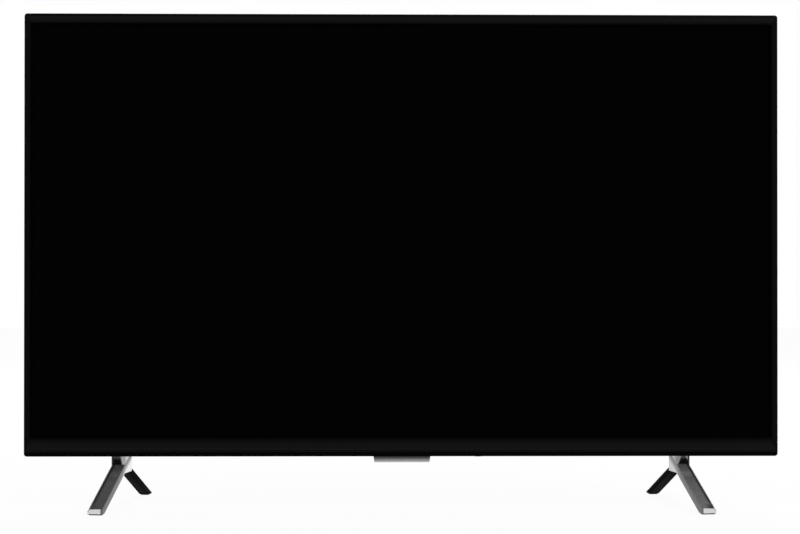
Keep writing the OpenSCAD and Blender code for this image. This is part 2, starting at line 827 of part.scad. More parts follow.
module power_switch() {
    color("#3a3a3c") in_body() difference() {
        box([button_x - switch_w / 2, button_y - switch_w / 2, switch_z],
            [button_x + switch_w / 2, button_y + switch_w / 2, switch_z + switch_h]);
        rod_z(button_x, button_y, switch_z - cut, switch_z + switch_bore, stem_r + 0.05);
    }
}

button_board_w = 26;
button_post_r = 2;
button_post_gap = 9.5;

module button_board() {
    color("#1d5b34") in_body() box([button_x - button_board_w / 2, button_y - 5, switch_z + switch_h],
                                   [button_x + button_board_w / 2, button_y + 6, switch_z + switch_h + 1.2]);
}

// Speakers, firing down through the cover's floor

speaker_gap = 2;
bevel_gap = 0.4;
speaker_y0 = pan_back + speaker_gap;
speaker_y1 = body_depth - hump_bevel - bevel_gap;
speaker_y = (speaker_y0 + speaker_y1) / 2;
driver_edge = 1.1;
driver_r = (speaker_y1 - speaker_y0) / 2 - driver_edge;
cone_r = driver_r - driver_flange - surround_w;
driver_t = 1.5;
driver_z = cover_wall + gasket_t;
speaker_z = driver_z + driver_t;
basket_r = cone_r + surround_w - 0.5;
basket_h = 14;
magnet_r = cone_r * 3 / 4;
magnet_h = 8;
coil_r = cone_r * 5 / 12;
coil_t = 0.4;
coil_gap = 0.3;
cone_h = 7;
cone_t = 0.6;
cone_wall = 0.7;
cap_h = 2;
cap_edge = 0.6;
cap_drop = 0.4;
ear_t = 3;
ear_z = 18;
ear_hole_r = 3.2;
grommet_flare = 0.8;
grommet_rise = 1;
ear_len = 2 * (ear_hole_r + grommet_flare + fit);
mount_screw_r = 1.3;
mount_screw_len = 8;
mount_head = 2;
// The boxes fill the room between the port bays and the feet
bay_gap = 3.3;
leg_gap = 27;
speaker_from = max(down_bay_x + down_bay_w, mains_bay_w / 2 - mains_at) + cover_wall + bay_gap;
speaker_to = leg_x - leg_gap;
speaker_x = (speaker_from + speaker_to) / 2;
speaker_len = speaker_to - speaker_from - 2 * ear_len;
mount_x = speaker_len / 2 + ear_len / 2;

module at_speaker(side) { translate([side * speaker_x, speaker_y, 0]) children(); }
module at_mounts() {
    for (side = [-1, 1], e = [-1, 1]) at_speaker(side) translate([e * mount_x, 0, 0]) children();
}

module speaker_box(side) {
    half_d = (speaker_y1 - speaker_y0) / 2;
    color("#202022") in_body() at_speaker(side) difference() {
        union() {
            box([-speaker_len / 2, -half_d, speaker_z], [speaker_len / 2, half_d, speaker_z + speaker_h]);
            box([-speaker_len / 2 - ear_len, -5.5, ear_z], [speaker_len / 2 + ear_len, 5.5, ear_z + ear_t]);
        }
        box([-speaker_len / 2 + speaker_wall, -half_d + speaker_wall, speaker_z + speaker_wall],
            [speaker_len / 2 - speaker_wall, half_d - speaker_wall, speaker_z + speaker_h - speaker_wall]);
        rod_z(0, 0, speaker_z - cut, speaker_z + speaker_wall + cut, basket_r + fit);
        for (e = [-1, 1]) rod_z(e * mount_x, 0, ear_z - cut, ear_z + ear_t + cut, ear_hole_r);
    }
}

// Steel basket, flange, magnet and pole in one riveted unit
module driver_frame(side) {
    shell = 1;
    top = speaker_z + basket_h;
    gap_r = coil_r + coil_t + coil_gap;
    pole_r = coil_r - coil_gap;
    color("#5b5e61") in_body() at_speaker(side) translate([0, 0, driver_z]) rotate_extrude()
        polygon([[cone_r + surround_w - 1, 0], [driver_r, 0], [driver_r, driver_t], [basket_r, driver_t],
                 [basket_r, driver_t + 4], [magnet_r, top - driver_z], [magnet_r, top - driver_z + magnet_h],
                 [0, top - driver_z + magnet_h], [0, top - driver_z - 2], [pole_r, top - driver_z - 2],
                 [pole_r, top - driver_z + magnet_h - 2], [gap_r, top - driver_z + magnet_h - 2],
                 [gap_r, top - driver_z - shell], [magnet_r - shell, top - driver_z - shell],
                 [basket_r - shell, driver_t + 4 - shell], [cone_r + surround_w - 1, driver_t]]);
}

cone_rim_z = driver_z + 0.2;

module cone(side) {
    apex = cone_rim_z + cone_h;
    coil_top = speaker_z + basket_h + 3;
    neck_r = coil_r + coil_t;
    rim_in = cone_r - 1.2;
    lean = (rim_in - neck_r) / cone_h;
    color("#19191b") in_body() at_speaker(side) rotate_extrude()
        polygon([[0, apex - cap_h], [coil_r - cap_edge, apex - cap_drop],
                 [neck_r + lean * (cone_t + cap_drop) - cone_wall, apex - cap_drop],
                 [rim_in + lean * cone_t - cone_wall, cone_rim_z],
                 [cone_r, cone_rim_z], [cone_r, cone_rim_z + cone_t], [rim_in, cone_rim_z + cone_t],
                 [neck_r, apex + cone_t], [neck_r, coil_top], [coil_r, coil_top],
                 [coil_r, apex + cone_t], [0, apex - cap_h + cone_t]]);
}

module surround(side) {
    in_r = cone_r - 1;
    out_r = cone_r + surround_w;
    edge_r = out_r - 1.1;
    mid = (cone_r + edge_r) / 2;
    roll = (edge_r - cone_r) / 2;
    top = cone_rim_z;
    t = 0.5;
    color("#0f0f10") in_body() at_speaker(side) translate([0, 0, top - t]) rotate_extrude()
        polygon(concat([[in_r, 0], [in_r, t], [cone_r, t]],
                       [for (a = [150 : -30 : 30]) [mid + roll * cos(a), t + roll * sin(a) * 0.8]],
                       [[edge_r, t], [edge_r, t - 0.2], [out_r - 0.4, t - 0.2], [out_r - 0.4, 0]],
                       [for (a = [30 : 30 : 150])
                           [mid + (roll - 0.1) * cos(a), (roll - 0.1) * sin(a) * 0.8]]));
}

module speaker_gaskets() {
    color("#303033") in_body() for (side = [-1, 1]) at_speaker(side) difference() {
        rod_z(0, 0, cover_wall, driver_z, driver_r);
        rod_z(0, 0, cover_wall - cut, driver_z + cut, cone_r + surround_w);
    }
}

// Each ear hangs on a rubber grommet, with a screw down into the cover's post
module speaker_mounts() {
    low = ear_z - grommet_rise;
    high = ear_z + ear_t + grommet_rise;
    color("#8a8a84") in_body() at_mounts() {
        difference() {
            union() {
                rod_z(0, 0, low, high, ear_hole_r - 0.05);
                rod_z(0, 0, low, ear_z, ear_hole_r + grommet_flare);
                rod_z(0, 0, ear_z + ear_t, high, ear_hole_r + grommet_flare);
            }
            rod_z(0, 0, low - cut, high + cut, mount_screw_r + 0.2);
        }
        rod_z(0, 0, low - mount_screw_len, high + 0.1, mount_screw_r);
        rod_z(0, 0, high, high + mount_head, ear_hole_r);
    }
}

// A round wire swept along points, with its rings turned square to the route
wire_sides = 8;
function ahead(p, i) = unit(p[min(i + 1, len(p) - 1)] - p[max(i - 1, 0)]);
function ring_at(p, i, r) =
    let(t = ahead(p, i), a = unit(cross([0, 1, 0], t)), b = cross(t, a), step = 360 / wire_sides)
    [for (k = [0 : wire_sides - 1]) p[i] + r * (cos(step * k) * a + sin(step * k) * b)];
module wire(p, r) {
    n = len(p);
    w = wire_sides;
    skin = [for (i = [0 : n - 2], k = [0 : w - 1], h = [0, 1])
        let(a = i * w + k, b = i * w + (k + 1) % w, c = b + w, d = a + w) h == 0 ? [a, b, c] : [a, c, d]];
    caps = [for (k = [1 : w - 2], e = [0, 1])
        e == 0 ? [0, k + 1, k] : [(n - 1) * w, (n - 1) * w + k, (n - 1) * w + k + 1]];
    polyhedron([for (i = [0 : n - 1]) each ring_at(p, i, r)], concat(skin, caps));
}

// Points on a smooth curve that leaves a towards b and reaches d from c
function curve(a, b, c, d, n) = [for (i = [0 : n]) let(t = i / n, u = 1 - t)
    u * u * u * a + 3 * u * u * t * b + 3 * u * t * t * c + t * t * t * d];

wire_r = 1.2;
wire_rise = 2;
speaker_plugs = [[16, 22], [98, 8]];
wire_face = board_back + plug_h + wire_r + 0.05;
wire_back = (pan_back + board_y) / 2;
wire_z = main_rect[2] + 16;
box_top = speaker_z + speaker_h + wire_r + 0.05;
left_plug = [main_rect[0] + speaker_plugs[0][0], wire_face, main_rect[2] + speaker_plugs[0][1]];
right_plug = [main_rect[0] + speaker_plugs[1][0], wire_face, main_rect[2] + speaker_plugs[1][1]];
left_turn = [power_rect[0] + 6, wire_back, wire_z];
middle_turn = [main_rect[0] - 18, wire_back, wire_z];
right_end = [speaker_x, speaker_y + 2, box_top];
left_end = [-speaker_x + 3, speaker_y + 2, box_top];
right_wire = curve(right_plug, right_plug - [0, 0, 10], right_end - [20, 0, 0], right_end, 14);
left_wire = concat(
    curve(left_plug, [main_rect[0] - 5, wire_face + wire_rise, left_plug[2]],
          [main_rect[0] - 5, wire_back, wire_z], middle_turn, 10),
    curve(left_turn, left_turn - [26, 0, 0], left_end - [22, 0, 0], left_end, 12));
module speaker_wires() {
    color("#1a1a1a") in_body() {
        wire(right_wire, wire_r);
        wire(left_wire, wire_r);
    }
}

// Rear cover: a rim, a slope up to the upper plane, and the deep housing below

plane_share = plane_inset / (plane_depth - rim_depth);
side_share = hump_lean;
top_share = hump_slope / hump_rise;
function lean(share, g) = g * sqrt(1 + share * share);
bay_floor = pan_back + 2.4 + cover_wall;
bay_back = body_depth + cut;
bay_over = 8;
side_bay = [[port_wall_x, bay_floor, side_bay_z], [hump_w / 2 + bay_over, bay_back, side_bay_z + side_bay_h]];
down_bay = [[down_bay_x, bay_floor, -cut], [down_bay_x + down_bay_w, bay_back, port_wall_z]];
mains_bay = [[mains_at - mains_bay_w / 2, bay_floor, -cut],
             [mains_at + mains_bay_w / 2, bay_back, port_wall_z]];

// The cover's form, drawn inward by g
module cover_form(g, start) {
    slope_a = body_w / 2 - lean(plane_share, g);
    slope_b = slope_a - plane_share * (plane_depth - g - rim_depth);
    slope_top_a = body_h - lean(plane_share, g);
    slope_top_b = slope_top_a - plane_share * (plane_depth - g - rim_depth);
    low_y = plane_depth - g - 0.001;
    high_y = body_depth - g;
    side_a = hump_w / 2 - lean(side_share, g) + side_share * g;
    side_b = side_a - side_share * (high_y - low_y);
    top_a = hump_h - lean(top_share, g) + top_share * g;
    top_b = top_a - top_share * (high_y - low_y);
    bevel = hump_bevel - g + lean(1, g);
    slab([-body_w / 2 + g, body_w / 2 - g, g, body_h - g], start, rim_depth);
    taper([-slope_a, slope_a, g, slope_top_a], [-slope_b, slope_b, g, slope_top_b],
          rim_depth - 0.001, plane_depth - g);
    intersection() {
        tall(g, body_h) polygon([[-side_a, low_y], [side_a, low_y], [side_b, high_y], [-side_b, high_y]]);
        wide(-side_a, side_a)
            polygon([[low_y, g], [high_y + g - bevel, g], [high_y, bevel], [high_y, top_b], [low_y, top_a]]);
    }
}

module bay(b, g) {
    box(b[0] - [g, g, b[0][2] < 0 ? 0 : g], b[1] + [g, 0, g]);
}

boss_r = 4.5;
head_sink = 1.6;
side_screw_x = (hump_w / 2 + body_w / 2 - plane_inset) / 2;
screw_drop = 12;
top_screw_z = body_h - plane_inset - screw_drop;
low_screw_z = 45;
cover_screw_places = concat(
    [for (s = [-1, 1], z = [low_screw_z, side_bay_z + side_bay_h / 2, hump_h - screw_drop])
        [s * side_screw_x, z]],
    [for (i = [-1 : 1]) [i * hump_w / 3, top_screw_z]]);
module at_cover_screws() { for (p = cover_screw_places) translate([p[0], 0, p[1]]) children(); }

vent_y0 = plane_depth + 6;
vent_y1 = body_depth - cover_wall - 3.5;
top_vents = floor((hump_w - 2 * hump_side - 40) / vent_pitch / 2);
vent_field = [main_rect[0] + 8, main_rect[1] - 12];
low_vents = floor((vent_field[1] - vent_field[0]) / vent_pitch);
low_vent_z = port_wall_z + 18;
low_vent_h = 28;

module vents() {
    for (i = [-top_vents : top_vents]) let(x = i * vent_pitch)
        box([x - vent_w / 2, vent_y0, hump_h - hump_slope - 8], [x + vent_w / 2, vent_y1, hump_h + cut]);
    both_sides() for (i = [0 : low_vents]) let(x = vent_field[0] + i * vent_pitch)
        box([x - vent_w / 2, body_depth - cover_wall - cut, low_vent_z],
            [x + vent_w / 2, body_depth + cut, low_vent_z + low_vent_h]);
}

grille_pitch = 4.5;
grille_w = 2;
grille_count = floor((speaker_len - 6) / grille_pitch / 2);
module speaker_slots() {
    reach = cone_r;
    for (side = [-1, 1]) at_speaker(side) for (i = [-grille_count : grille_count])
        box([i * grille_pitch - grille_w / 2, -reach, -cut],
            [i * grille_pitch + grille_w / 2, reach, cover_wall + cut]);
}

module at_legs() { both_sides() translate([leg_x, neck_depth, 0]) rotate([0, 0, leg_angle]) children(); }
module neck_hole(g, z0, z1) {
    box([-leg_w / 2 - leg_in - g, -neck_len / 2 - g, z0], [leg_w / 2 + g, neck_len / 2 + g, z1]);
}

module port_windows() {
    for (z = hdmi_places) box([side_face - cover_wall - cut, board_back - fit, z - hdmi_w / 2 - fit],
                              [side_face + cut, board_back + hdmi_h + fit, z + hdmi_w / 2 + fit]);
    box([side_face - cover_wall - cut, board_back - fit, usb_at - usb_w / 2 - fit],
        [side_face + cut, board_back + usb_h + fit, usb_at + usb_w / 2 + fit]);
    box([side_face - cover_wall - cut, board_back - fit, headphone_at - jack_w / 2 - fit],
        [side_face + cut, board_back + jack_h + fit, headphone_at + jack_w / 2 + fit]);
    rod_x(board_back + reset_case / 2, reset_at, side_face - cover_wall - cut, side_face + cut, pin_hole_r);
    rod_z(antenna_at, antenna_y, down_face - cut, down_face + cover_wall + cut, antenna_r + collar_w + fit);
    box([optical_at - optical_w / 2 - fit, board_back - fit, down_face - cut],
        [optical_at + optical_w / 2 + fit, board_back + optical_w + fit, down_face + cover_wall + cut]);
    for (i = [0 : 2])
        rod_z(av_first + av_pitch * i, av_y, down_face - cut, down_face + cover_wall + cut,
              av_r + collar_w + fit);
    box([mains_at - mains_w / 2 - fit, board_back - fit, down_face - cut],
        [mains_at + mains_w / 2 + fit, board_back + mains_h + fit, down_face + cover_wall + cut]);
}

module cover_posts() {
    at_cover_screws() rod_y(0, 0, pan_back, plane_depth - cut, boss_r);
    at_mounts() rod_z(0, 0, cover_wall - cut, ear_z - grommet_rise, ear_hole_r);
    for (s = [-1, 1])
        rod_z(button_x + s * button_post_gap, button_y + 2, cover_wall - cut, switch_z + switch_h,
              button_post_r);
    at_legs() difference() {
        neck_hole(fit + 2, cover_wall - cut, neck_in - 0.5);
        neck_hole(fit, 0, neck_in);
    }
}

module rear_cover() {
    color("#17171a") in_body() difference() {
        union() {
            difference() {
                intersection() {
                    cover_form(0, bezel_depth);
                    deep(bezel_depth - cut, body_depth + cut) round_rect(body_rect, corner_r);
                }
                bay(side_bay, 0);
                bay(down_bay, 0);
                bay(mains_bay, 0);
                difference() {
                    cover_form(cover_wall, bezel_depth - cut);
                    bay(side_bay, cover_wall);
                    bay(down_bay, cover_wall);
                    bay(mains_bay, cover_wall);
                }
            }
            cover_posts();
        }
        at_cover_screws() {
            rod_y(0, 0, plane_depth - head_sink, plane_depth + cut, cover_head_r + fit);
            rod_y(0, 0, pan_back - cut, plane_depth + cut, cover_shank_r + 0.2);
        }
        at_mounts()
            rod_z(0, 0, ear_z - grommet_rise - 1.4 * mount_screw_len, ear_z + cut, mount_screw_r + 0.05);
        at_bushes() rod_y(0, 0, body_depth - cover_wall - cut, body_depth + cut, bush_r + fit);
        at_legs() neck_hole(fit, -cut, cover_wall + cut);
        rod_z(button_x, button_y, -cut, cover_wall + cut, button_r + button_hole);
        port_windows();
        vents();
        speaker_slots();
    }
}

module cover_screws() {
    color("#2a2a2c") in_body() at_cover_screws() {
        rod_y(0, 0, plane_depth - head_sink, plane_depth - 0.2, cover_head_r);
        rod_y(0, 0, pan_floor - 0.5, plane_depth - head_sink + 0.1, cover_shank_r);
    }
}

bush_sink = 0.5;
module at_bushes() {
    for (x = [-1, 1], z = [-1, 1]) translate([x * vesa / 2, 0, vesa_z + z * vesa / 2]) children();
}
module wall_mount_bushes() {
    color("#b9a15a") in_body() at_bushes() difference() {
        rod_y(0, 0, pan_back, body_depth - bush_sink, bush_r);
        rod_y(0, 0, body_depth - bush_sink - bush_thread, body_depth + cut, bush_bore_r);
    }
}

// Stand

bracket_w = 22;
bracket_back = 14;
bracket_up = 30;
bracket_skin = 2;
bracket_screw_r = 1.5;
bracket_head_r = 3;
bracket_head = 2;
bracket_screw_z = neck_in + bracket_up - 8;
function leg_screws() = [-leg_screw_gap / 2, leg_screw_gap / 2];

module stand_brackets() {
    color("#9da1a3") in_body() both_sides() difference() {
        union() {
            box([leg_x - bracket_w / 2, pan_back, neck_in],
                [leg_x + bracket_w / 2, neck_depth + bracket_back, neck_in + bracket_t]);
            box([leg_x - bracket_w / 2, pan_back, neck_in],
                [leg_x + bracket_w / 2, pan_back + bracket_skin, neck_in + bracket_up]);
        }
        translate([leg_x, neck_depth, 0]) rotate([0, 0, leg_angle]) for (u = leg_screws())
            rod_z(0, u, neck_in - cut, neck_in + bracket_t + cut, leg_screw_r + 0.05);
        for (e = [-1, 1])
            rod_y(leg_x + e * bracket_w / 4, bracket_screw_z, pan_back - cut, pan_back + bracket_skin + cut,
                  bracket_screw_r + 0.2);
    }
}

// A foot is drawn in its own upright plane: u runs back from the neck's middle, v across, z from the table
nose_u = (leg_front - (leg_w / 2 + leg_in) * sin(leg_angle)) / cos(leg_angle);
heel_u = (leg_back - strut_w / 2 * sin(leg_angle)) / cos(leg_angle);
neck_u = neck_len / 2;
neck_top = body_lift + neck_in;
leg_tan = (bend_z - nose_h) / (nose_u - neck_u);
leg_drop = leg_t * sqrt(1 + leg_tan * leg_tan);
crotch_z = bend_z - leg_drop;
toe_u = neck_u + (crotch_z - pad_t) / leg_tan;
strut_z = bend_z - strut_low;
strut_tan = (strut_z - heel_h) / (heel_u - neck_u);
strut_drop = strut_t * sqrt(1 + strut_tan * strut_tan);
strut_toe_u = neck_u + (strut_z - strut_drop - pad_t) / strut_tan;
tenon = [2.4, 5, 4];
tenon_z = strut_z - strut_drop / 2;
leg_head_r = 3.4;
leg_head_sink = 4;

module foot() { translate([leg_x, neck_y, 0]) rotate([0, 0, leg_angle]) children(); }
module tenon_block(g) {
    box([-tenon[1] / 2 - g, neck_u - tenon[0] - g, tenon_z - tenon[2] / 2 - g],
        [tenon[1] / 2 + g, neck_u, tenon_z + tenon[2] / 2 + g]);
}

// The chamfer runs down the neck's outer front corner and on along the leg, mitred at the bend
module chamfer_cut() {
    in_z = leg_chamfer * (sqrt(1 + leg_tan * leg_tan) - leg_tan);
    over = 1.2 * (nose_u - neck_u);
    rows = [[0, neck_top + 1, 0], [0, bend_z, in_z], [over, bend_z - over * leg_tan, in_z]];
    out = 0.3;
    points = [for (r = rows)
        let (e = [leg_w / 2, -neck_u - r[0], r[1]],
             a = e - [leg_chamfer, 0, 0],
             b = e + [0, leg_chamfer, -r[2]])
        each [a + out * (a - b), b + out * (b - a), e + out * (2 * e - a - b)]];
    sides = [for (s = [0, 3], a = [0 : 2])
        let (b = (a + 1) % 3)
        [b + s, a + s, a + s + 3, b + s + 3]];
    polyhedron(points, concat([[0, 1, 2], [8, 7, 6]], sides));
}

module leg() {
    color("#6a6c6f") foot() difference() {
        wide(-leg_w / 2 - leg_in, leg_w / 2)
            polygon([[-neck_u, neck_top], [-neck_u, bend_z], [-nose_u, nose_h], [-nose_u, pad_t],
                     [-toe_u, pad_t], [-neck_u, crotch_z], [neck_u, crotch_z], [neck_u, neck_top]]);
        chamfer_cut();
        for (u = leg_screws()) {
            rod_z(0, u, crotch_z - cut, neck_top + cut, leg_screw_r + 0.2);
            rod_z(0, u, crotch_z - cut, crotch_z + leg_head_sink, leg_head_r + 0.3);
        }
        tenon_block(0.1);
    }
}

module strut() {
    foot() {
        wide(-strut_w / 2, strut_w / 2)
            polygon([[neck_u, strut_z], [heel_u, heel_h], [heel_u, pad_t], [strut_toe_u, pad_t],
                     [neck_u, strut_z - strut_drop]]);
        tenon_block(0);
    }
}

module left_leg() { mirror([1, 0, 0]) leg(); }
module right_leg() { leg(); }
module rear_struts() { color("#101011") both_sides() strut(); }

module foot_pads() {
    edge = 1.2;
    color("#1c1c1c") both_sides() foot() {
        box([-leg_w / 2 - leg_in + edge, -nose_u + edge, 0], [leg_w / 2 - edge, -toe_u - edge, pad_t]);
        box([-strut_w / 2 + edge, strut_toe_u + edge, 0], [strut_w / 2 - edge, heel_u - edge, pad_t]);
    }
}

module stand_screws() {
    head = 2.4;
    color("#8f9193") {
        both_sides() foot() for (u = leg_screws()) {
            rod_z(0, u, crotch_z + leg_head_sink - 0.1, neck_top + bracket_t + 0.5, leg_screw_r);
            rod_z(0, u, crotch_z + leg_head_sink - head, crotch_z + leg_head_sink, leg_head_r);
        }
        in_body() both_sides() for (e = [-1, 1]) {
            rod_y(leg_x + e * bracket_w / 4, bracket_screw_z, pan_back, pan_back + bracket_skin + 0.1,
                  bracket_screw_r);
            rod_y(leg_x + e * bracket_w / 4, bracket_screw_z, pan_back + bracket_skin,
                  pan_back + bracket_skin + bracket_head, bracket_head_r);
        }
    }
}

module left_speaker_box() { speaker_box(-1); }
module right_speaker_box() { speaker_box(1); }
module left_driver_frame() { driver_frame(-1); }
module right_driver_frame() { driver_frame(1); }
module left_cone() { cone(-1); }
module right_cone() { cone(1); }
module left_surround() { surround(-1); }
module right_surround() { surround(1); }

front_bezel();
lcd_panel();
middle_frame();
prism_film();
diffuser_film();
diffuser_plate();
reflector_sheet();
led_strips();
led_chips();
led_lenses();
back_pan();
panel_board();
panel_films();
board_standoffs();
board_screws();
main_board();
main_board_chips();
soc_heatsink();
hdmi_sockets();
usb_socket();
headphone_socket();
antenna_socket();
optical_socket();
av_sockets();
reset_switch();
reset_plunger();
power_board();
transformer();
power_board_parts();
filter_choke();
mains_inlet();
insulator_sheet();
ribbon_cable();
supply_harness();
speaker_wires();
wireless_module();
sensor_window();
sensor_board();
power_button();
power_switch();
button_board();
left_speaker_box();
right_speaker_box();
left_driver_frame();
right_driver_frame();
left_cone();
right_cone();
left_surround();
right_surround();
speaker_gaskets();
speaker_mounts();
rear_cover();
cover_screws();
wall_mount_bushes();
stand_brackets();
left_leg();
right_leg();
rear_struts();
foot_pads();
stand_screws();
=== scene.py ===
import bpy
import bmesh
import json
import math
from mathutils import Matrix, Vector


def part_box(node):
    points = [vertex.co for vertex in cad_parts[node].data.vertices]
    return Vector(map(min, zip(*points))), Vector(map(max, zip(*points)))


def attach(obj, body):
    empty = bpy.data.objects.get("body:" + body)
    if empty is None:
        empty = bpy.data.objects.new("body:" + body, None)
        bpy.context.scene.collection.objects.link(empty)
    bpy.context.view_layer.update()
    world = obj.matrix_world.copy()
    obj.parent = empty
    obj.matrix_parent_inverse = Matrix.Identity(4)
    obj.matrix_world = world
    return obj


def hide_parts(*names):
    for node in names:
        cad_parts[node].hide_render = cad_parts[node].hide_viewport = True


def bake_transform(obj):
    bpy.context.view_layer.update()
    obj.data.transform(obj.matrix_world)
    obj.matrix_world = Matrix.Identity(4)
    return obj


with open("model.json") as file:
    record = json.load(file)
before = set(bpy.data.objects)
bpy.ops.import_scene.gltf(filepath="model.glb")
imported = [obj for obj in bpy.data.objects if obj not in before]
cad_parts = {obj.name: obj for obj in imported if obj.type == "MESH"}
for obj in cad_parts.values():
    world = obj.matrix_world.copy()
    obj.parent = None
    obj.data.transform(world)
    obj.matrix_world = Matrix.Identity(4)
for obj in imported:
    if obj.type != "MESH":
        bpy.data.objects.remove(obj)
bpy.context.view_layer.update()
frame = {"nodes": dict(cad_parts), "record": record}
nodes = frame["nodes"]
scene = bpy.context.scene
scene.view_settings.view_transform = "Standard"


def tone(code):
    # a code such as "#808080" made linear; any other colour as it is
    if not isinstance(code, str):
        return code
    parts = [int(code[i:i + 2], 16) / 255 for i in (1, 3, 5)]
    return tuple(p / 12.92 if p <= 0.04045 else ((p + 0.055) / 1.055) ** 2.4 for p in parts) + (1.0,)


def shade(colour, factor):
    return tuple(min(1.0, c * factor) for c in tone(colour)[:3]) + (1.0,)


# camera and studio

shot = {"place": (-0.0332, -1.9192, 0.2242), "tilt": 90.363, "roll": -0.028, "turn": -0.957, "lens": 86.44,
        "sensor": 36.0}

lensData = bpy.data.cameras.new("photoCamera")
lensData.lens = shot["lens"]
lensData.sensor_width = shot["sensor"]
lensData.sensor_fit = "HORIZONTAL"
lensData.clip_end = 50
photoCamera = bpy.data.objects.new("photoCamera", lensData)
photoCamera.location = shot["place"]
photoCamera.rotation_euler = [math.radians(shot[axis]) for axis in ("tilt", "roll", "turn")]
scene.collection.objects.link(photoCamera)
scene.camera = photoCamera
print("camera set")


class Mark:
    # a socket's value: sums with it add Math nodes
    def __init__(self, finish, socket):
        self.finish = finish
        self.socket = socket

    def sums(self, operation, first, second):
        return self.finish.make("ShaderNodeMath", {"operation": operation}, {0: first, 1: second})

    def __add__(self, other):
        return self.sums("ADD", self, other)

    def __radd__(self, other):
        return self.sums("ADD", other, self)

    def __sub__(self, other):
        return self.sums("SUBTRACT", self, other)

    def __rsub__(self, other):
        return self.sums("SUBTRACT", other, self)

    def __mul__(self, other):
        return self.sums("MULTIPLY", self, other)

    def __rmul__(self, other):
        return self.sums("MULTIPLY", other, self)

    def __truediv__(self, other):
        return self.sums("DIVIDE", self, other)

    def __rtruediv__(self, other):
        return self.sums("DIVIDE", other, self)

    def __pow__(self, other):
        return self.sums("POWER", self, other)

    def __rpow__(self, other):
        return self.sums("POWER", other, self)

    def __gt__(self, other):
        return self.sums("GREATER_THAN", self, other)

    def __lt__(self, other):
        return self.sums("LESS_THAN", self, other)

    def __abs__(self):
        return self.sums("ABSOLUTE", self, 0.0)

    def lower(self, other):
        return self.sums("MINIMUM", self, other)

    def higher(self, other):
        return self.sums("MAXIMUM", self, other)

    def repeat(self, length):
        return self.sums("FLOORED_MODULO", self, length)

    def ridges(self, pitch, height):
        # down to 0 and up to height once in each pitch
        return abs(self.repeat(pitch) - pitch / 2) * (2 * height / pitch)

    def ramp(self, start, end):
        # 0 at start, 1 at end, and level beyond
        return self.finish.make("ShaderNodeMapRange", {"clamp": True},
                                {"Value": self, "From Min": start, "From Max": end})


class Net:
    def __init__(self, tree):
        self.tree = tree
        tree.nodes.clear()

    def make(self, kind, settings=None, inputs=None, out=0):
        node = self.tree.nodes.new(kind)
        for key, value in (settings or {}).items():
            if key == "stops":
                while len(node.color_ramp.elements) < len(value):
                    node.color_ramp.elements.new(0.5)
                for element, (place, colour) in zip(node.color_ramp.elements, value):
                    element.position = place
                    element.color = colour
            else:
                setattr(node, key, value)
        for key, value in (inputs or {}).items():
            for link in value if isinstance(value, list) else [value]:
                if isinstance(link, Mark):
                    self.tree.links.new(link.socket, node.inputs[key])
                else:
                    node.inputs[key].default_value = link
        return Mark(self, node.outputs[out]) if node.outputs else None


class Finish(Net):
    def __init__(self, name):
        self.material = bpy.data.materials.new(name)
        self.material.use_nodes = True
        Net.__init__(self, self.material.node_tree)

    def place(self, turn=0.0, stretch=(1, 1, 1)):
        spot = self.make("ShaderNodeTexCoord", out=3)
        return self.make("ShaderNodeMapping", {"vector_type": "POINT"},
                         {"Vector": spot, "Rotation": (0, 0, turn), "Scale": stretch})

    def axes(self):
        spot = self.make("ShaderNodeTexCoord", out=3)
        return [self.make("ShaderNodeSeparateXYZ", None, {0: spot}, i) for i in range(3)]

    def grain(self, size, detail=2.0, spot=None, rough=0.5):
        # mottle whose patches are about size metres across
        return self.make("ShaderNodeTexNoise", None,
                         {"Vector": spot or self.place(), "Scale": 1 / size, "Detail": detail,
                          "Roughness": rough})

    def cells(self, size):
        # cells about size metres across: 0 in the middle, rising to the edge
        return self.make("ShaderNodeTexVoronoi", {"feature": "F1"},
                         {"Vector": self.place(), "Scale": 1 / size})

    def mix(self, factor, first, second):
        return self.make("ShaderNodeMix", {"data_type": "RGBA"},
                         {0: factor, 6: tone(first), 7: tone(second)}, 2)

    def dent(self, height, depth, strength=1.0, normal=None):
        inputs = {"Height": height, "Distance": depth, "Strength": strength}
        if normal:
            inputs["Normal"] = normal
        return self.make("ShaderNodeBump", None, inputs)

    def softEdge(self, radius):
        return self.make("ShaderNodeBevel", {"samples": 4}, {"Radius": radius})

    def surface(self, sockets):
        shader = self.make("ShaderNodeBsdfPrincipled", None, sockets)
        self.make("ShaderNodeOutputMaterial", None, {"Surface": shader})
        return self.material


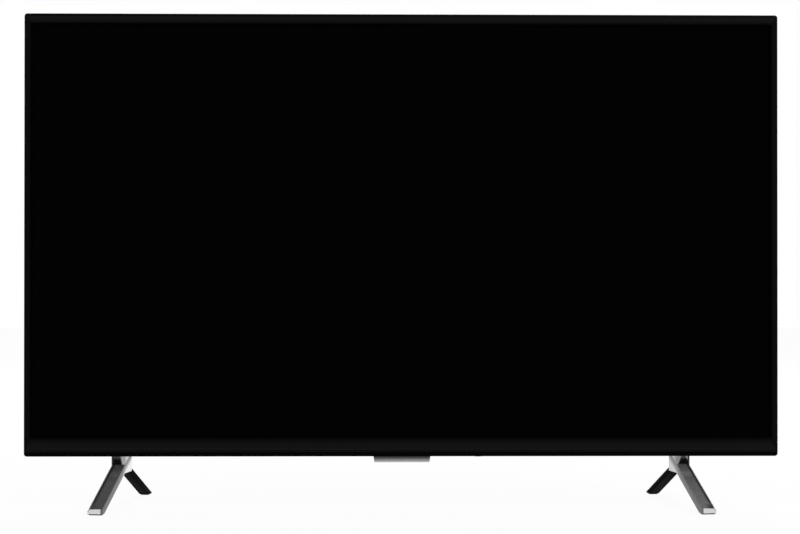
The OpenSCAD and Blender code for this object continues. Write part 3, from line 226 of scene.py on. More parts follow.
class Pattern(Net):
    # a Geometry Nodes tree that sets copies of a shape on a piece's points
    def __init__(self, name, sizes):
        Net.__init__(self, bpy.data.node_groups.new(name, "GeometryNodeTree"))
        self.sizes = sizes
        for side in ("OUTPUT", "INPUT"):
            self.tree.interface.new_socket("Geometry", in_out=side, socket_type="NodeSocketGeometry")
        for label, value in sizes.items():
            kind = "NodeSocketInt" if isinstance(value, int) else "NodeSocketFloat"
            self.tree.interface.new_socket(label, in_out="INPUT", socket_type=kind)

    def size(self, label):
        return self.make("NodeGroupInput", out=label)

    def spot(self, x=0.0, y=0.0, z=0.0):
        return self.make("ShaderNodeCombineXYZ", None, {0: x, 1: y, 2: z})

    def shifted(self, shape, spot, turn=(0, 0, 0)):
        return self.make("GeometryNodeTransform", None,
                         {"Geometry": shape, "Translation": spot, "Rotation": turn})

    def axes(self):
        spot = self.make("GeometryNodeInputPosition")
        return [self.make("ShaderNodeSeparateXYZ", None, {0: spot}, i) for i in range(3)]

    def onPoints(self, points, shape, turn=(0, 0, 0)):
        return self.make("GeometryNodeInstanceOnPoints", None,
                         {"Points": points, "Instance": shape, "Rotation": turn})

    def close(self, shape, paint):
        whole = self.make("GeometryNodeRealizeInstances", None, {"Geometry": shape})
        painted = self.make("GeometryNodeSetMaterial", None, {"Geometry": whole, "Material": paint})
        self.make("NodeGroupOutput", None, {0: painted})

    def use(self, name, points, changes=None):
        mesh = bpy.data.meshes.new(name)
        mesh.from_pydata([tuple(p) for p in points], [], [])
        piece = bpy.data.objects.new(name, mesh)
        scene.collection.objects.link(piece)
        grown = piece.modifiers.new("pattern", "NODES")
        grown.node_group = self.tree
        values = {**self.sizes, **(changes or {})}
        for socket in self.tree.interface.items_tree:
            if socket.in_out == "INPUT" and socket.name in values:
                grown[socket.identifier] = values[socket.name]
        return settle(piece)


studio = {"floorSize": 14.0, "floorTone": (0.93, 0.93, 0.93, 1), "floorShow": 0.94, "skyLevel": 0.62,
          "lamps": [("keyLamp", (1.9, -2.4, 2.3), 1.8, 46), ("fillLamp", (-2.3, -2.2, 1.6), 2.0, 24),
                    ("rearLamp", (0.3, 2.6, 2.2), 2.2, 40)],
          "aim": (0, 0, 0.25)}


def seenRays(finish):
    # camera, mirror and glass rays meet the plain white studio
    path = [finish.make("ShaderNodeLightPath", out=i) for i in (0, 3, 6)]
    return path[0].higher(path[1]).higher(path[2])


def layFloor():
    half = studio["floorSize"] / 2
    mesh = bpy.data.meshes.new("floor")
    corners = [(-half, -half, 0), (half, -half, 0), (half, half, 0), (-half, half, 0)]
    mesh.from_pydata(corners, [], [(0, 1, 2, 3)])
    floor = bpy.data.objects.new("floor", mesh)
    scene.collection.objects.link(floor)
    paint = Finish("floorPaint")
    matt = paint.make("ShaderNodeBsdfDiffuse", None, {"Color": studio["floorTone"]})
    glow = paint.make("ShaderNodeEmission", None, {"Color": (1, 1, 1, 1), "Strength": 1.0})
    both = paint.make("ShaderNodeMixShader", None,
                      {0: seenRays(paint) * studio["floorShow"], 1: matt, 2: glow})
    paint.make("ShaderNodeOutputMaterial", None, {"Surface": both})
    mesh.materials.append(paint.material)


def lightStudio():
    world = bpy.data.worlds.new("studioSky")
    scene.world = world
    world.use_nodes = True
    sky = Net(world.node_tree)
    seen = seenRays(sky)
    level = seen + (1 - seen) * studio["skyLevel"]
    back = sky.make("ShaderNodeBackground", None, {"Color": (1, 1, 1, 1), "Strength": level})
    sky.make("ShaderNodeOutputWorld", None, {"Surface": back})
    for name, spot, size, power in studio["lamps"]:
        data = bpy.data.lights.new(name, "AREA")
        data.shape = "DISK"
        data.size = size
        data.energy = power
        lamp = bpy.data.objects.new(name, data)
        lamp.location = spot
        lamp.rotation_euler = (Vector(studio["aim"]) - Vector(spot)).to_track_quat("-Z", "Y").to_euler()
        scene.collection.objects.link(lamp)


layFloor()
lightStudio()
print("studio lit")


# finishes shared by several pieces

plasticGrain = {"fine": 0.0006, "wide": 0.035, "depth": 0.00004, "specular": 0.3, "mottle": 0.12}


def moulded(name, colour, rough):
    # textured plastic: spark-eroded grain, a little uneven sheen
    s = plasticGrain
    f = Finish(name)
    fine = f.grain(s["fine"], 3)
    wide = f.grain(s["wide"], 3)
    patches = wide.ramp(0.35, 0.65) * 0.7 + fine * 0.3
    return f.surface({
        "Base Color": f.mix(patches, shade(colour, 1 - s["mottle"]), shade(colour, 1 + s["mottle"])),
        "Roughness": fine * 0.12 + wide * 0.08 + (rough - 0.1),
        "Specular IOR Level": s["specular"],
        "Normal": f.dent(fine, s["depth"], 0.6)})


def plated(name, colour, rough, spots=0.004):
    # zinc or tin over steel: spangle patches and handling marks
    f = Finish(name)
    spangle = f.cells(spots)
    marks = f.grain(0.0015, 4, f.place(0.5, (6, 1, 1)))
    return f.surface({
        "Base Color": f.mix(spangle.ramp(0.1, 0.8), shade(colour, 0.86), shade(colour, 1.1)),
        "Metallic": 1.0,
        "Roughness": spangle * 0.12 + marks * 0.15 + (rough - 0.12),
        "Normal": f.dent(marks, 0.00002, 0.4)})


def rubbery(name, colour, rough=0.75):
    # soft and matt, dusty in patches
    f = Finish(name)
    fine = f.grain(0.0005, 4)
    dust = f.grain(0.012, 4)
    return f.surface({
        "Base Color": f.mix(dust.ramp(0.4, 0.8), colour, shade(colour, 1.7)),
        "Roughness": dust * 0.2 + (rough - 0.1),
        "Specular IOR Level": 0.25,
        "Normal": f.dent(fine, 0.00005, 0.7)})


def circuit(name, mask, copper="#b8923a", pitch=0.0016):
    # solder mask over copper runs, with bare pads
    f = Finish(name)
    x, y, z = f.axes()
    zone = f.cells(0.016)
    lineX = (x.ridges(pitch, 1.0) < 0.36) * (f.grain(0.011, 1) > 0.53)
    lineZ = (z.ridges(pitch, 1.0) < 0.36) * (f.grain(0.013, 1, f.place(0.7)) > 0.55)
    runs = lineX.higher(lineZ)
    pads = f.cells(0.0042) < 0.16
    coat = f.mix(runs, mask, shade(mask, 1.55))
    return f.surface({
        "Base Color": f.mix(pads, coat, copper),
        "Metallic": pads * 0.9,
        "Roughness": 0.42 - pads * 0.12 + zone * 0.06,
        "Specular IOR Level": 0.45,
        "Normal": f.dent(runs + pads, 0.00005, 0.6)})


def film(name, colour, lines, rough):
    # thin sheet with fine level ridges and a slight haze
    f = Finish(name)
    ridge = f.axes()[2].ridges(lines, 0.5)
    haze = f.grain(0.02, 3)
    return f.surface({
        "Base Color": f.mix(haze, shade(colour, 0.95), colour),
        "Roughness": haze * 0.15 + (rough - 0.07),
        "Normal": f.dent(ridge, 0.00002, 0.5)})


def flatCable(name, colour, pitch, across, groove, rough=0.55):
    # leads side by side: a round on each lead, a groove between, painted darker as shade
    f = Finish(name)
    off = f.axes()[across].ridges(pitch, 1.0)
    gap = off > 0.82
    wear = f.grain(0.006, 3)
    return f.surface({
        "Base Color": f.mix(gap * 0.7 + wear * 0.15, colour, groove),
        "Roughness": wear * 0.2 + (rough - 0.1),
        "Normal": f.dent(1 - off * off, pitch * 0.4, 0.8)})


def dappled(name, size, detail, tones, rough, relief=None, others=None):
    # one mottle, of cells where it has no detail, sets tone, sheen and relief together
    f = Finish(name)
    patch = f.grain(size, detail) if detail else f.cells(size)
    sockets = {"Base Color": f.mix(patch, *tones), "Roughness": patch * rough[1] + rough[0]}
    if relief:
        sockets["Normal"] = f.dent(patch, *relief)
    return f.surface({**sockets, **(others or {})})


def finFinish():
    # anodised metal rubbed in one direction, with faint long streaks
    f = Finish("anodisedFins")
    colour = "#4a4d50"
    lines = f.grain(0.024, 4, f.place(0.0, (1, 1, 40)), 0.65)
    haze = f.grain(0.03, 2)
    return f.surface({
        "Base Color": f.mix(lines.ramp(0.3, 0.7), shade(colour, 0.82), shade(colour, 1.16)),
        "Metallic": 1.0,
        "Roughness": lines * 0.14 + haze * 0.1 + 0.33,
        "Normal": f.dent(lines, 0.00001, 0.5)})


def chipFinish():
    # moulded chip bodies with a paler, finely pitted face
    f = Finish("chipBody")
    pits = f.grain(0.0004, 3)
    patch = f.cells(0.02)
    return f.surface({
        "Base Color": f.mix(patch.ramp(0.2, 0.7) * 0.5 + pits * 0.2, "#1c1c1f", "#3c3c40"),
        "Roughness": pits * 0.2 + 0.5,
        "Specular IOR Level": 0.35,
        "Normal": f.dent(pits, 0.00003, 0.6)})


# the screen: black panel under an anti-glare coat, a darker border of masked cells round the picture

screenSizes = {"halfWidth": 0.3602, "low": 0.070, "high": 0.4723, "border": 0.0028}
screenTones = {"deep": (0.00025, 0.00025, 0.0003, 1), "pale": (0.0005, 0.0005, 0.0006, 1),
               "border": (0.0001, 0.0001, 0.0001, 1)}


def screenFinish():
    s = screenSizes
    f = Finish("screenCoat")
    x, y, z = f.axes()
    side = s["halfWidth"] - abs(x)
    ends = (z - s["low"]).lower(s["high"] - z)
    border = side.lower(ends) < s["border"]
    haze = f.grain(0.00025, 2)
    wide = f.grain(0.12, 2)
    picture = f.mix(wide, screenTones["deep"], screenTones["pale"])
    return f.surface({
        "Base Color": f.mix(border, picture, screenTones["border"]),
        "Roughness": haze * 0.1 + 0.2,
        "Specular IOR Level": 0.006,
        "Normal": f.dent(haze, 0.000004, 0.3)})


# bezel: satin black face with painted shade that darkens it towards the glass and on the side rails, the
# outer chamfer painted near black as shade, a fine groove along the chin with painted shade in it and a
# painted highlight each side

bezelSizes = {"halfWidth": 0.3665, "low": 0.052, "high": 0.482, "side": 0.0063, "top": 0.0097,
              "chin": 0.018, "rim": 0.0025, "chinRim": 0.0046, "rimOut": -0.0003, "rimIn": 0.0005,
              "groove": 0.0060, "grooveHalf": 0.0004, "crestHighlight": 0.0011, "crestFade": 0.0007, "fade": 0.62}
bezelTones = {"chin": (0.0050, 0.0050, 0.0052, 1), "rail": (0.0026, 0.0026, 0.0027, 1),
              "glassShade": (0.0005, 0.0005, 0.0006, 1), "crestHighlight": (0.0082, 0.0082, 0.0085, 1),
              "groove": (0.0022, 0.0022, 0.0023, 1), "rim": (0.0004, 0.0004, 0.0005, 1)}


def bezelFinish():
    s = bezelSizes
    tones = bezelTones
    f = Finish("bezelMoulding")
    x, y, z = f.axes()
    side = s["halfWidth"] - abs(x)
    top = s["high"] - z
    chin = z - s["low"]
    # 0 at the body's edge, 1 at the glass, on each of the three kinds of rail
    run = (side / s["side"]).lower(top / s["top"]).lower(chin / s["chin"])
    # the outer chamfer is painted near black: painted shade
    rim = (side - s["rim"]).lower(top - s["rim"]).lower(chin - s["chinRim"])
    face = rim.ramp(s["rimOut"], s["rimIn"])
    # painted shade: the face darkens towards the glass
    fade = run.ramp(1.0, s["fade"])
    # painted shade in the groove along the chin, and a thin painted highlight along each side of it
    off = abs(chin - s["groove"])
    groove = off.ramp(s["grooveHalf"] * 1.6, s["grooveHalf"] * 0.6)
    crestHighlight = off.ramp(s["grooveHalf"], s["crestHighlight"]) * off.ramp(s["crestHighlight"] + s["crestFade"], s["crestHighlight"])
    rail = (side / s["side"]) < (top / s["top"]).lower(chin / s["chin"])
    mist = f.grain(0.0005, 3)
    wide = f.grain(0.05, 3)
    # painted shade: the side rails get a darker tone than the chin and the top
    plain = f.mix(rail, tones["chin"], tones["rail"])
    shadedFace = f.mix(fade, tones["glassShade"], plain)
    lined = f.mix(groove, f.mix(crestHighlight, shadedFace, tones["crestHighlight"]), tones["groove"])
    return f.surface({
        "Base Color": f.mix(face, tones["rim"], lined),
        "Roughness": mist * 0.1 + wide * 0.1 + 0.3,
        "Specular IOR Level": 0.018,
        "Normal": f.dent(mist, 0.00001, 0.4)})


# sensor window: smoky moulding, with painted shade darkening it under the chin and painted light making it
# pale at its free edge

windowSizes = {"top": 0.052, "low": 0.046}
windowShadeStops = [(0.0, tone("#111112")), (0.3, tone("#4c4c4d")), (0.7, tone("#909091")),
               (1.0, tone("#cdcdce"))]


def windowFinish():
    f = Finish("smokyWindow")
    down = f.axes()[2].ramp(windowSizes["top"], windowSizes["low"])
    swirl = f.grain(0.006, 2)
    # the tone runs dark at the top to pale at the bottom: painted shade under the chin, painted light at
    # the free edge
    smokeAndShade = f.make("ShaderNodeValToRGB", {"stops": windowShadeStops}, {"Fac": down + (swirl - 0.5) * 0.08})
    return f.surface({
        "Base Color": smokeAndShade,
        "Roughness": swirl * 0.08 + 0.18,
        "Specular IOR Level": 0.25,
        "Normal": f.dent(f.grain(0.0008, 2), 0.00001, 0.3)})


# feet: gunmetal lacquer rubbed along the leg, polished inner side and nose, with painted light and shade
# over them

footSizes = {"angle": math.radians(9.1), "place": 0.279, "middle": -0.0045, "neck": 0.012, "bend": 0.041,
             "slope": 0.4557, "nose": 0.0888, "drop": 0.0088, "shadeEnd": 0.036}
lacquerSizes = {"edgeFrom": 0.0006, "edgeTo": 0.0030, "edgeGone": 0.004, "edgeStop": 0.012,
                "tipStart": 0.009, "tipEnd": 0.004, "tipInner": -0.004, "tipOuter": 0.001,
                "toeStart": 0.0045, "toeEnd": 0.0015, "noseBright": -0.0060, "noseShade": -0.0072}
neckSizes = {"lowReach": 0.016, "fadeBelow": 0.0004, "fadeAbove": -0.0015, "rear": 0.0024, "dark": 0.0455,
             "pale": 0.0485, "cornerHeight": 0.0471, "cornerFade": 0.0007, "outerCorner": 0.0020,
             "outerSlope": 0.77}
# the two feet are mirror images, but each gets its own tones: painted light and shade for how each is lit
footTones = {
    "left": {"bend": "#a0a0a0", "middle": "#5d5d5d", "toe": "#545454", "tip": "#484848", "ridge": "#565656",
             "lip": "#ababab", "lipToe": "#5a5a5a", "neckFront": "#acacac", "neckRear": "#dedede",
             "neckLow": "#f6f6f6", "wedge": "#6c6c6c", "corner": "#a8a8a8", "innerCorner": 0.0040,
             "innerSlope": 0.2, "outerBare": 0.0},
    "right": {"bend": "#d6d6d6", "middle": "#6e6e6e", "toe": "#7a7a7a", "tip": "#404040",
              "ridge": "#5a5a5a", "lip": "#a0a0a0", "lipToe": "#5a5a5a", "neckFront": "#747474",
              "neckRear": "#c4c4c4", "neckLow": "#cccccc", "wedge": "#6c6c6c", "corner": "#8c8c8c",
              "innerCorner": 0.0037, "innerSlope": 0.4, "outerBare": 1.0}}


def footAxes(f):
    # across the foot (outwards), back along it, and up
    s = footSizes
    x, y, z = f.axes()
    out = abs(x) - s["place"]
    back = y - s["middle"]
    sine, cosine = math.sin(s["angle"]), math.cos(s["angle"])
    return out * cosine + back * sine, back * cosine - out * sine, z


def rubbedLines(f, across, along, up):
    spot = f.make("ShaderNodeCombineXYZ", None, {0: across, 1: along * 0.05, 2: up * 0.05})
    return f.grain(0.0011, 4, spot, 0.6)


def legTopFinish(name, tones):
    s = {**footSizes, **lacquerSizes}
    f = Finish(name)
    v, u, z = footAxes(f)
    lines = rubbedLines(f, v, u, z)
    cloud = f.grain(0.007, 3)
    # painted light: the lacquer is made paler near the bend, where the body shades it
    near = u.ramp(-s["shadeEnd"], -s["neck"])
    forward = u.ramp(-s["shadeEnd"], -s["nose"])
    long = f.mix(forward, tones["middle"], tones["toe"])
    plain = f.mix(near, long, tones["bend"])
    streak = lines.ramp(0.3, 0.7) * 0.5 + cloud.ramp(0.35, 0.7) * 0.5
    worn = f.mix(streak * 0.22, plain, (0.01, 0.01, 0.01, 1))
    # painted shade: just behind the nose the face is painted darker, where it rolls over
    behind = u + s["nose"]
    tip = behind.ramp(s["tipStart"], s["tipEnd"]) * v.ramp(s["tipInner"], s["tipOuter"])
    face = f.mix(tip, worn, tones["tip"])
    # painted shade: the face is painted darker along its outer edge
    edge = v.ramp(s["edgeFrom"], s["edgeTo"]) * behind.ramp(s["edgeGone"], s["edgeStop"])
    return f.surface({
        "Base Color": f.mix(edge * 0.95, face, "#1c1c1d"),
        "Metallic": 0.2,
        "Roughness": lines * 0.12 + cloud * 0.1 + 0.3,
        "Specular IOR Level": 0.2,
        "Normal": f.dent(lines, 0.000012, 0.4)})


def legInnerFinish(name, tones):
    s = {**footSizes, **neckSizes}
    f = Finish(name)
    v, u, z = footAxes(f)
    lines = rubbedLines(f, v, u, z)
    # the leg's top line runs on across the neck: lacquer below it, bare metal above
    below = (u + s["neck"]) * s["slope"] + s["bend"] - z
    # painted shade: the inner side is darker along its top edge and towards the toe; painted highlight:
    # near white by the neck
    under = below.ramp(0.0, s["drop"])
    neck = below.ramp(s["fadeBelow"], s["fadeAbove"])
    forward = u.ramp(-s["neck"], -s["nose"])
    edge = f.mix(forward ** 0.5, tones["lip"], tones["lipToe"])
    near = u.ramp(-s["neck"] - s["lowReach"], -s["neck"])
    bright = f.mix(near, edge, tones["neckLow"])
    legTone = f.mix(under ** 1.9, tones["ridge"], bright)
    # painted reflection: the neck runs from darker at its front to paler at its rear
    neckTone = f.mix(u.ramp(-s["neck"], s["rear"]), tones["neckFront"], tones["neckRear"])
    return f.surface({
        "Base Color": f.mix(lines * 0.12, f.mix(neck, legTone, neckTone), (0.02, 0.02, 0.02, 1)),
        "Metallic": neck.higher(near).higher(0.5),
        "Roughness": lines * 0.1 + 0.2,
        "Specular IOR Level": 0.1,
        "Normal": f.dent(lines, 0.000012, 0.3)})


def legShadeFinish(name):
    # outer chamfer, outer side and underside: the lacquer painted darker as shade, and painted bright near
    # the nose as a highlight
    s = lacquerSizes
    f = Finish(name)
    v, u, z = footAxes(f)
    lines = rubbedLines(f, v, u, z)
    toe = (u + footSizes["nose"]).ramp(s["toeStart"], s["toeEnd"])
    return f.surface({
        "Base Color": f.mix(toe, f.mix(lines, "#131314", "#222223"), "#d8d8d8"),
        "Roughness": lines * 0.12 + 0.36,
        "Specular IOR Level": 0.12,
        "Normal": f.dent(lines, 0.000012, 0.4)})


def legNoseFinish(name):
    # polished front end, painted dark grey at its inner end: painted shade carried on from the inner side's
    # top edge
    s = lacquerSizes
    f = Finish(name)
    inner = footAxes(f)[0].ramp(s["noseBright"], s["noseShade"])
    rub = f.grain(0.0016, 4)
    polish = f.mix(rub, "#c2c2c2", "#e2e2e2")
    return f.surface({
        "Base Color": f.mix(inner, polish, "#5a5a5a"),
        "Metallic": 0.85,
        "Roughness": rub * 0.12 + 0.12,
        "Normal": f.dent(rub, 0.00001, 0.3)})


def legWedgeFinish(name, tones):
    # front of the neck: matt black at the bend, a painted shade; paler higher up, a painted light; bare at
    # the upper corners
    s = neckSizes
    f = Finish(name)
    v, u, z = footAxes(f)
    grit = f.grain(0.0006, 4)
    down = s["cornerHeight"] - z
    inside = v * -1 - tones["innerCorner"] - down * tones["innerSlope"]
    outside = v - s["outerCorner"] - down * s["outerSlope"]
    inner, outer = [run.ramp(-s["cornerFade"], s["cornerFade"]) for run in (inside, outside)]
    bare = inner.higher(outer * tones["outerBare"])
    matt = f.mix(grit, "#0b0b0b", "#1a1a1a")
    # painted shade at the bend, painted light higher up
    coat = f.mix(z.ramp(s["dark"], s["pale"]), matt, tones["wedge"])
    return f.surface({
        "Base Color": f.mix(bare, coat, tones["corner"]),
        "Metallic": bare,
        "Roughness": grit * 0.15 + 0.4 - bare * 0.2,
        "Specular IOR Level": 0.04,
        "Normal": f.dent(grit, 0.00002, 0.5)})


strutSizes = {"spineEdge": 0.0038, "spineCrest": 0.001, "spineTop": 0.026, "collar": 0.0348,
              "collarFade": 0.0004}
# the worn tone below is reached along the spine as a painted highlight, and elsewhere as wear
strutTones = {"deep": (0.0003, 0.0003, 0.0004, 1), "worn": (0.0055, 0.0055, 0.0055, 1)}


def strutFinish():
    s = strutSizes
    f = Finish("strutPaint")
    v, u, z = footAxes(f)
    grit = f.grain(0.0006, 4)
    wear = f.grain(0.011, 3)
    # painted highlight along the strut's middle, fading towards the floor
    spine = abs(v).ramp(s["spineEdge"], s["spineCrest"]) * z.ramp(0.0, s["spineTop"])
    # bare collar where the strut meets the neck
    collar = z.ramp(s["collar"] - s["collarFade"], s["collar"])
    spineHighlightAndWear = spine * 0.7 + wear.ramp(0.45, 0.8) * 0.1
    paint = f.mix(spineHighlightAndWear, strutTones["deep"], strutTones["worn"])
    return f.surface({
        "Base Color": f.mix(collar, paint, "#dcdcdc"),
        "Metallic": collar,
        "Roughness": grit * 0.15 + 0.4,
        "Specular IOR Level": 0.003,
        "Normal": f.dent(grit, 0.00003, 0.5)})


# rear cover: black moulding with a coarse spark texture, dustier towards the top

coverGrain = {"spark": 0.0011, "pits": 0.0016, "wide": 0.06, "dustFrom": 0.05, "dustTo": 0.45,
              "edge": 0.0008, "depth": 0.00012}


def coverFinish():
    s = coverGrain
    f = Finish("coverMoulding")
    up = f.axes()[2]
    spark = f.grain(s["spark"], 3)
    pits = f.cells(s["pits"])
    dust = f.grain(s["wide"], 4).ramp(0.5, 0.8) * up.ramp(s["dustFrom"], s["dustTo"]) * 0.5
    soft = f.softEdge(s["edge"])
    return f.surface({
        "Base Color": f.mix(dust + spark * 0.3, "#1d1d1f", "#343437"),
        "Roughness": spark * 0.2 + pits * 0.1 + 0.45,
        "Specular IOR Level": 0.22,
        "Normal": f.dent(spark + pits * 0.5, s["depth"], 0.55, soft)})


def windingFinish():
    # turns of enamelled wire laid round the ring, each painted paler along its middle and darker between
    # turns: painted highlight and painted shade
    f = Finish("copperTurns")
    turns = f.make("ShaderNodeTexWave", {"wave_type": "BANDS", "bands_direction": "DIAGONAL"},
                   {"Vector": f.place(), "Scale": 160.0, "Distortion": 1.2, "Detail": 1.0}, 1)
    return f.surface({"Base Color": f.mix(turns, "#5f3111", "#c97b3c"), "Metallic": 0.8,
                      "Roughness": turns * -0.1 + 0.45, "Normal": f.dent(turns, 0.0002, 0.8)})


tapeSizes = {"x": -0.1422, "z": 0.1938, "half": 0.0112, "lap": 0.0016}


def ferriteFinish():
    # dark core, yellow tape round the winding in the middle
    s = tapeSizes
    f = Finish("coreAndTape")
    x, y, z = f.axes()
    tape = (abs(x - s["x"]) < s["half"]) * (abs(z - s["z"]) < s["half"])
    pits = f.grain(0.0007, 3)
    laps = y.ridges(s["lap"], 0.72)
    core = f.mix(pits, "#232324", "#3b3b3c")
    yellow = f.mix(laps, "#c79420", "#eac14c")
    return f.surface({"Base Color": f.mix(tape, core, yellow), "Roughness": pits * 0.2 + 0.45,
                      "Normal": f.dent(pits + laps * 0.2, 0.00005, 0.5)})


canSizes = {"sleeveEnd": 0.0133, "bareFrom": 0.0137}


def canFinish():
    # sleeved cans with a scored metal top
    f = Finish("sleevedCans")
    top = f.axes()[1].ramp(canSizes["sleeveEnd"], canSizes["bareFrom"])
    score = f.grain(0.002, 3, f.place(0.3, (1, 8, 1)))
    sleeve = f.mix(score, "#1b2140", "#333f6b")
    return f.surface({"Base Color": f.mix(top, sleeve, "#b9bcc0"), "Metallic": top,
                      "Roughness": score * 0.2 + 0.3, "Normal": f.dent(score, 0.00003, 0.5)})


barrelSizes = {"mouth": 0.0986, "firstEnd": 0.1215, "lastStart": 0.1345}


def avFinish():
    # plated barrels, each with its own coloured insert at the mouth
    s = barrelSizes
    f = Finish("barrelInserts")
    x, y, z = f.axes()
    mouth = z < s["mouth"]
    pair = f.mix(x < s["firstEnd"], "#e9e8e2", "#e3b91c")
    insert = f.mix(x > s["lastStart"], pair, "#b3241d")
    scuff = f.grain(0.0012, 3)
    barrel = f.mix(scuff, "#9fa2a4", "#c9cbcc")
    return f.surface({"Base Color": f.mix(mouth, barrel, insert), "Metallic": 1 - mouth,
                      "Roughness": scuff * 0.2 + 0.22, "Normal": f.dent(scuff, 0.00002, 0.4)})


aerialSizes = {"barrelTop": 0.1065, "pitch": 0.0008}


def antennaFinish():
    # nickel on brass, threaded barrel
    f = Finish("threadedBarrel")
    up = f.axes()[2]
    thread = up.ridges(aerialSizes["pitch"], 1.0) * (up < aerialSizes["barrelTop"])
    scuff = f.grain(0.0012, 3)
    return f.surface({"Base Color": f.mix(scuff, "#a89a6c", "#d8cda4"), "Metallic": 1.0,
                      "Roughness": scuff * 0.2 + 0.2, "Normal": f.dent(thread, 0.0003, 0.9)})


bushSizes = {"half": 0.05, "height": 0.232, "bore": 0.0023, "pitch": 0.0007, "ringPitch": 0.0003}


def bushFinish():
    # bright turned face, thread inside the bore, the bore painted darker as shade
    s = bushSizes
    f = Finish("turnedBush")
    x, y, z = f.axes()
    along = abs(x) - s["half"]
    up = abs(z - s["height"]) - s["half"]
    reach = (along * along + up * up) ** 0.5
    bore = reach < s["bore"]
    thread = y.ridges(s["pitch"], 0.98)
    rings = reach.ridges(s["ringPitch"], 0.6)
    turned = f.mix(rings, "#b39a52", "#d9c27c")
    return f.surface({"Base Color": f.mix(bore, turned, "#6b5a2c"), "Metallic": 1.0,
                      "Roughness": rings * 0.1 + 0.22,
                      "Normal": f.dent(thread * bore * 6 + rings, 0.00006, 0.8)})


def coneFinish():
    # coated paper with a fibre grain
    f = Finish("coatedPaper")
    fibre = f.grain(0.0012, 5, None, 0.7)
    return f.surface({"Base Color": f.mix(fibre, "#161617", "#2a2a2c"), "Roughness": fibre * 0.2 + 0.55,
                      "Normal": f.dent(fibre, 0.0001, 0.8)})


def screwFinish():
    # black zinc, rubbed bright where a driver has turned in it
    f = Finish("blackZinc")
    scuff = f.grain(0.0006, 4)
    worn = scuff.ramp(0.56, 0.75)
    return f.surface({"Base Color": f.mix(worn, "#2b2b2e", "#8a8a8c"), "Metallic": 0.9,
                      "Roughness": scuff * 0.2 + 0.28, "Normal": f.dent(scuff, 0.00003, 0.5)})


def buttonFinish():
    # smooth moulding, polished unevenly by use
    f = Finish("buttonMoulding")
    fine = f.grain(0.0004, 3)
    rub = f.grain(0.004, 3)
    return f.surface({"Base Color": f.mix(rub, "#141415", "#262628"), "Roughness": rub * 0.2 + 0.2,
                      "Specular IOR Level": 0.4, "Normal": f.dent(fine, 0.00001, 0.4)})


finishes = {
    "screen": screenFinish(),
    "frame_black": moulded("frameMoulding", "#2b2b2d", 0.5),
    "film_clear": film("prismFilm", "#e4e8ea", 0.0004, 0.35),
    "film_white": film("hazeFilm", "#f2f3f3", 0.0009, 0.6),
    "diffuser": film("milkPlate", "#f6f6f4", 0.0015, 0.65),
    "reflector": dappled("reflectorSheet", 0.0008, 0, ("#f7f7f5", "#ffffff"), (0.6, 0.1), (0.00003, 0.5)),
    "led_board": circuit("ledBoard", "#dfe3e0", "#c9ccca"),
    "led_yellow": dappled("phosphorGel", 0.0003, 4, ("#e8c23c", "#f7de74"), (0.35, 0.2), (0.00002, 0.6)),
    "lens_clear": dappled("lensMoulding", 0.002, 2, ("#e6edf1", "#ffffff"), (0.05, 0.1),
                          others={"Transmission Weight": 0.85, "IOR": 1.49}),
    "pan_steel": plated("panSteel", "#a9adb0", 0.42, 0.009),
    "board_green": circuit("greenBoard", "#1d5b34"),
    "flex_amber": flatCable("amberFlex", "#b5762a", 0.0009, 0, "#7a4a16", 0.35),
    "zinc": plated("zincScrew", "#bfbfb9", 0.34),
    "chip_black": chipFinish(),
    "heatsink": finFinish(),
    "socket_metal": plated("socketShell", "#9a9da0", 0.32),
    "socket_black": moulded("socketBlock", "#1c1c1e", 0.45),
    "socket_brass": antennaFinish(),
    "plunger_red": moulded("redPlunger", "#c23b2e", 0.4),
    "board_brown": circuit("brownBoard", "#6a5626", "#c0a24e", 0.0024),
    "ferrite": ferriteFinish(),
    "can_blue": canFinish(),
    "copper": windingFinish(),
    "sheet_cream": film("creamSheet", "#e6e2d4", 0.003, 0.6),
    "cable_grey": flatCable("greyRibbon", "#d9dcdf", 0.001, 0, "#8f9396"),
    "cable_yellow": flatCable("yellowLeads", "#c8b04a", 0.0014, 2, "#5a4a14"),
    "wire_black": rubbery("wireSleeve", "#1a1a1a", 0.5),
    "module_blue": circuit("blueBoard", "#27415e"),
    "box_black": moulded("speakerMoulding", "#232325", 0.5),
    "basket_steel": plated("basketSteel", "#6a6d70", 0.4),
    "cone_paper": coneFinish(),
    "soft_black": rubbery("softRubber", "#1b1b1b"),
    "foam": dappled("closedFoam", 0.0009, 0, ("#1d1d1f", "#3a3a3d"), (0.8, 0.1), (0.0002, 0.9)),
    "cover_black": coverFinish(),
    "bush_brass": bushFinish(),
}
slotOf = {entry["node"]: entry["material_slot"] for entry in frame["record"]["subparts"]}
barrelFinish = avFinish()
for name, item in nodes.items():
    paint = barrelFinish if name == "av_sockets" else finishes.get(slotOf[name])
    if paint:
        item.data.materials.clear()
        item.data.materials.append(paint)
print("finishes on", sum(1 for n in nodes if slotOf[n] in finishes), "nodes")


# pieces made from a node's own shape

def merged(node):
    # the node's loose triangles, joined where their corners meet
    shape = bmesh.new()
    shape.from_mesh(nodes[node].data)
    bmesh.ops.remove_doubles(shape, verts=shape.verts, dist=5e-6)
    return shape


def copyShape(node, flat=1.0):
    # the node's shape in clean faces
    shape = merged(node)
    bmesh.ops.dissolve_limit(shape, angle_limit=math.radians(flat), verts=shape.verts, edges=shape.edges,
                             use_dissolve_boundaries=False)
    bmesh.ops.recalc_face_normals(shape, faces=shape.faces)
    return shape


def settle(piece):
    # modifiers become plain mesh
    deps = bpy.context.evaluated_depsgraph_get()
    mesh = bpy.data.meshes.new_from_object(piece.evaluated_get(deps), preserve_all_data_layers=True,
                                           depsgraph=deps)
    piece.modifiers.clear()
    piece.data = mesh
    return piece


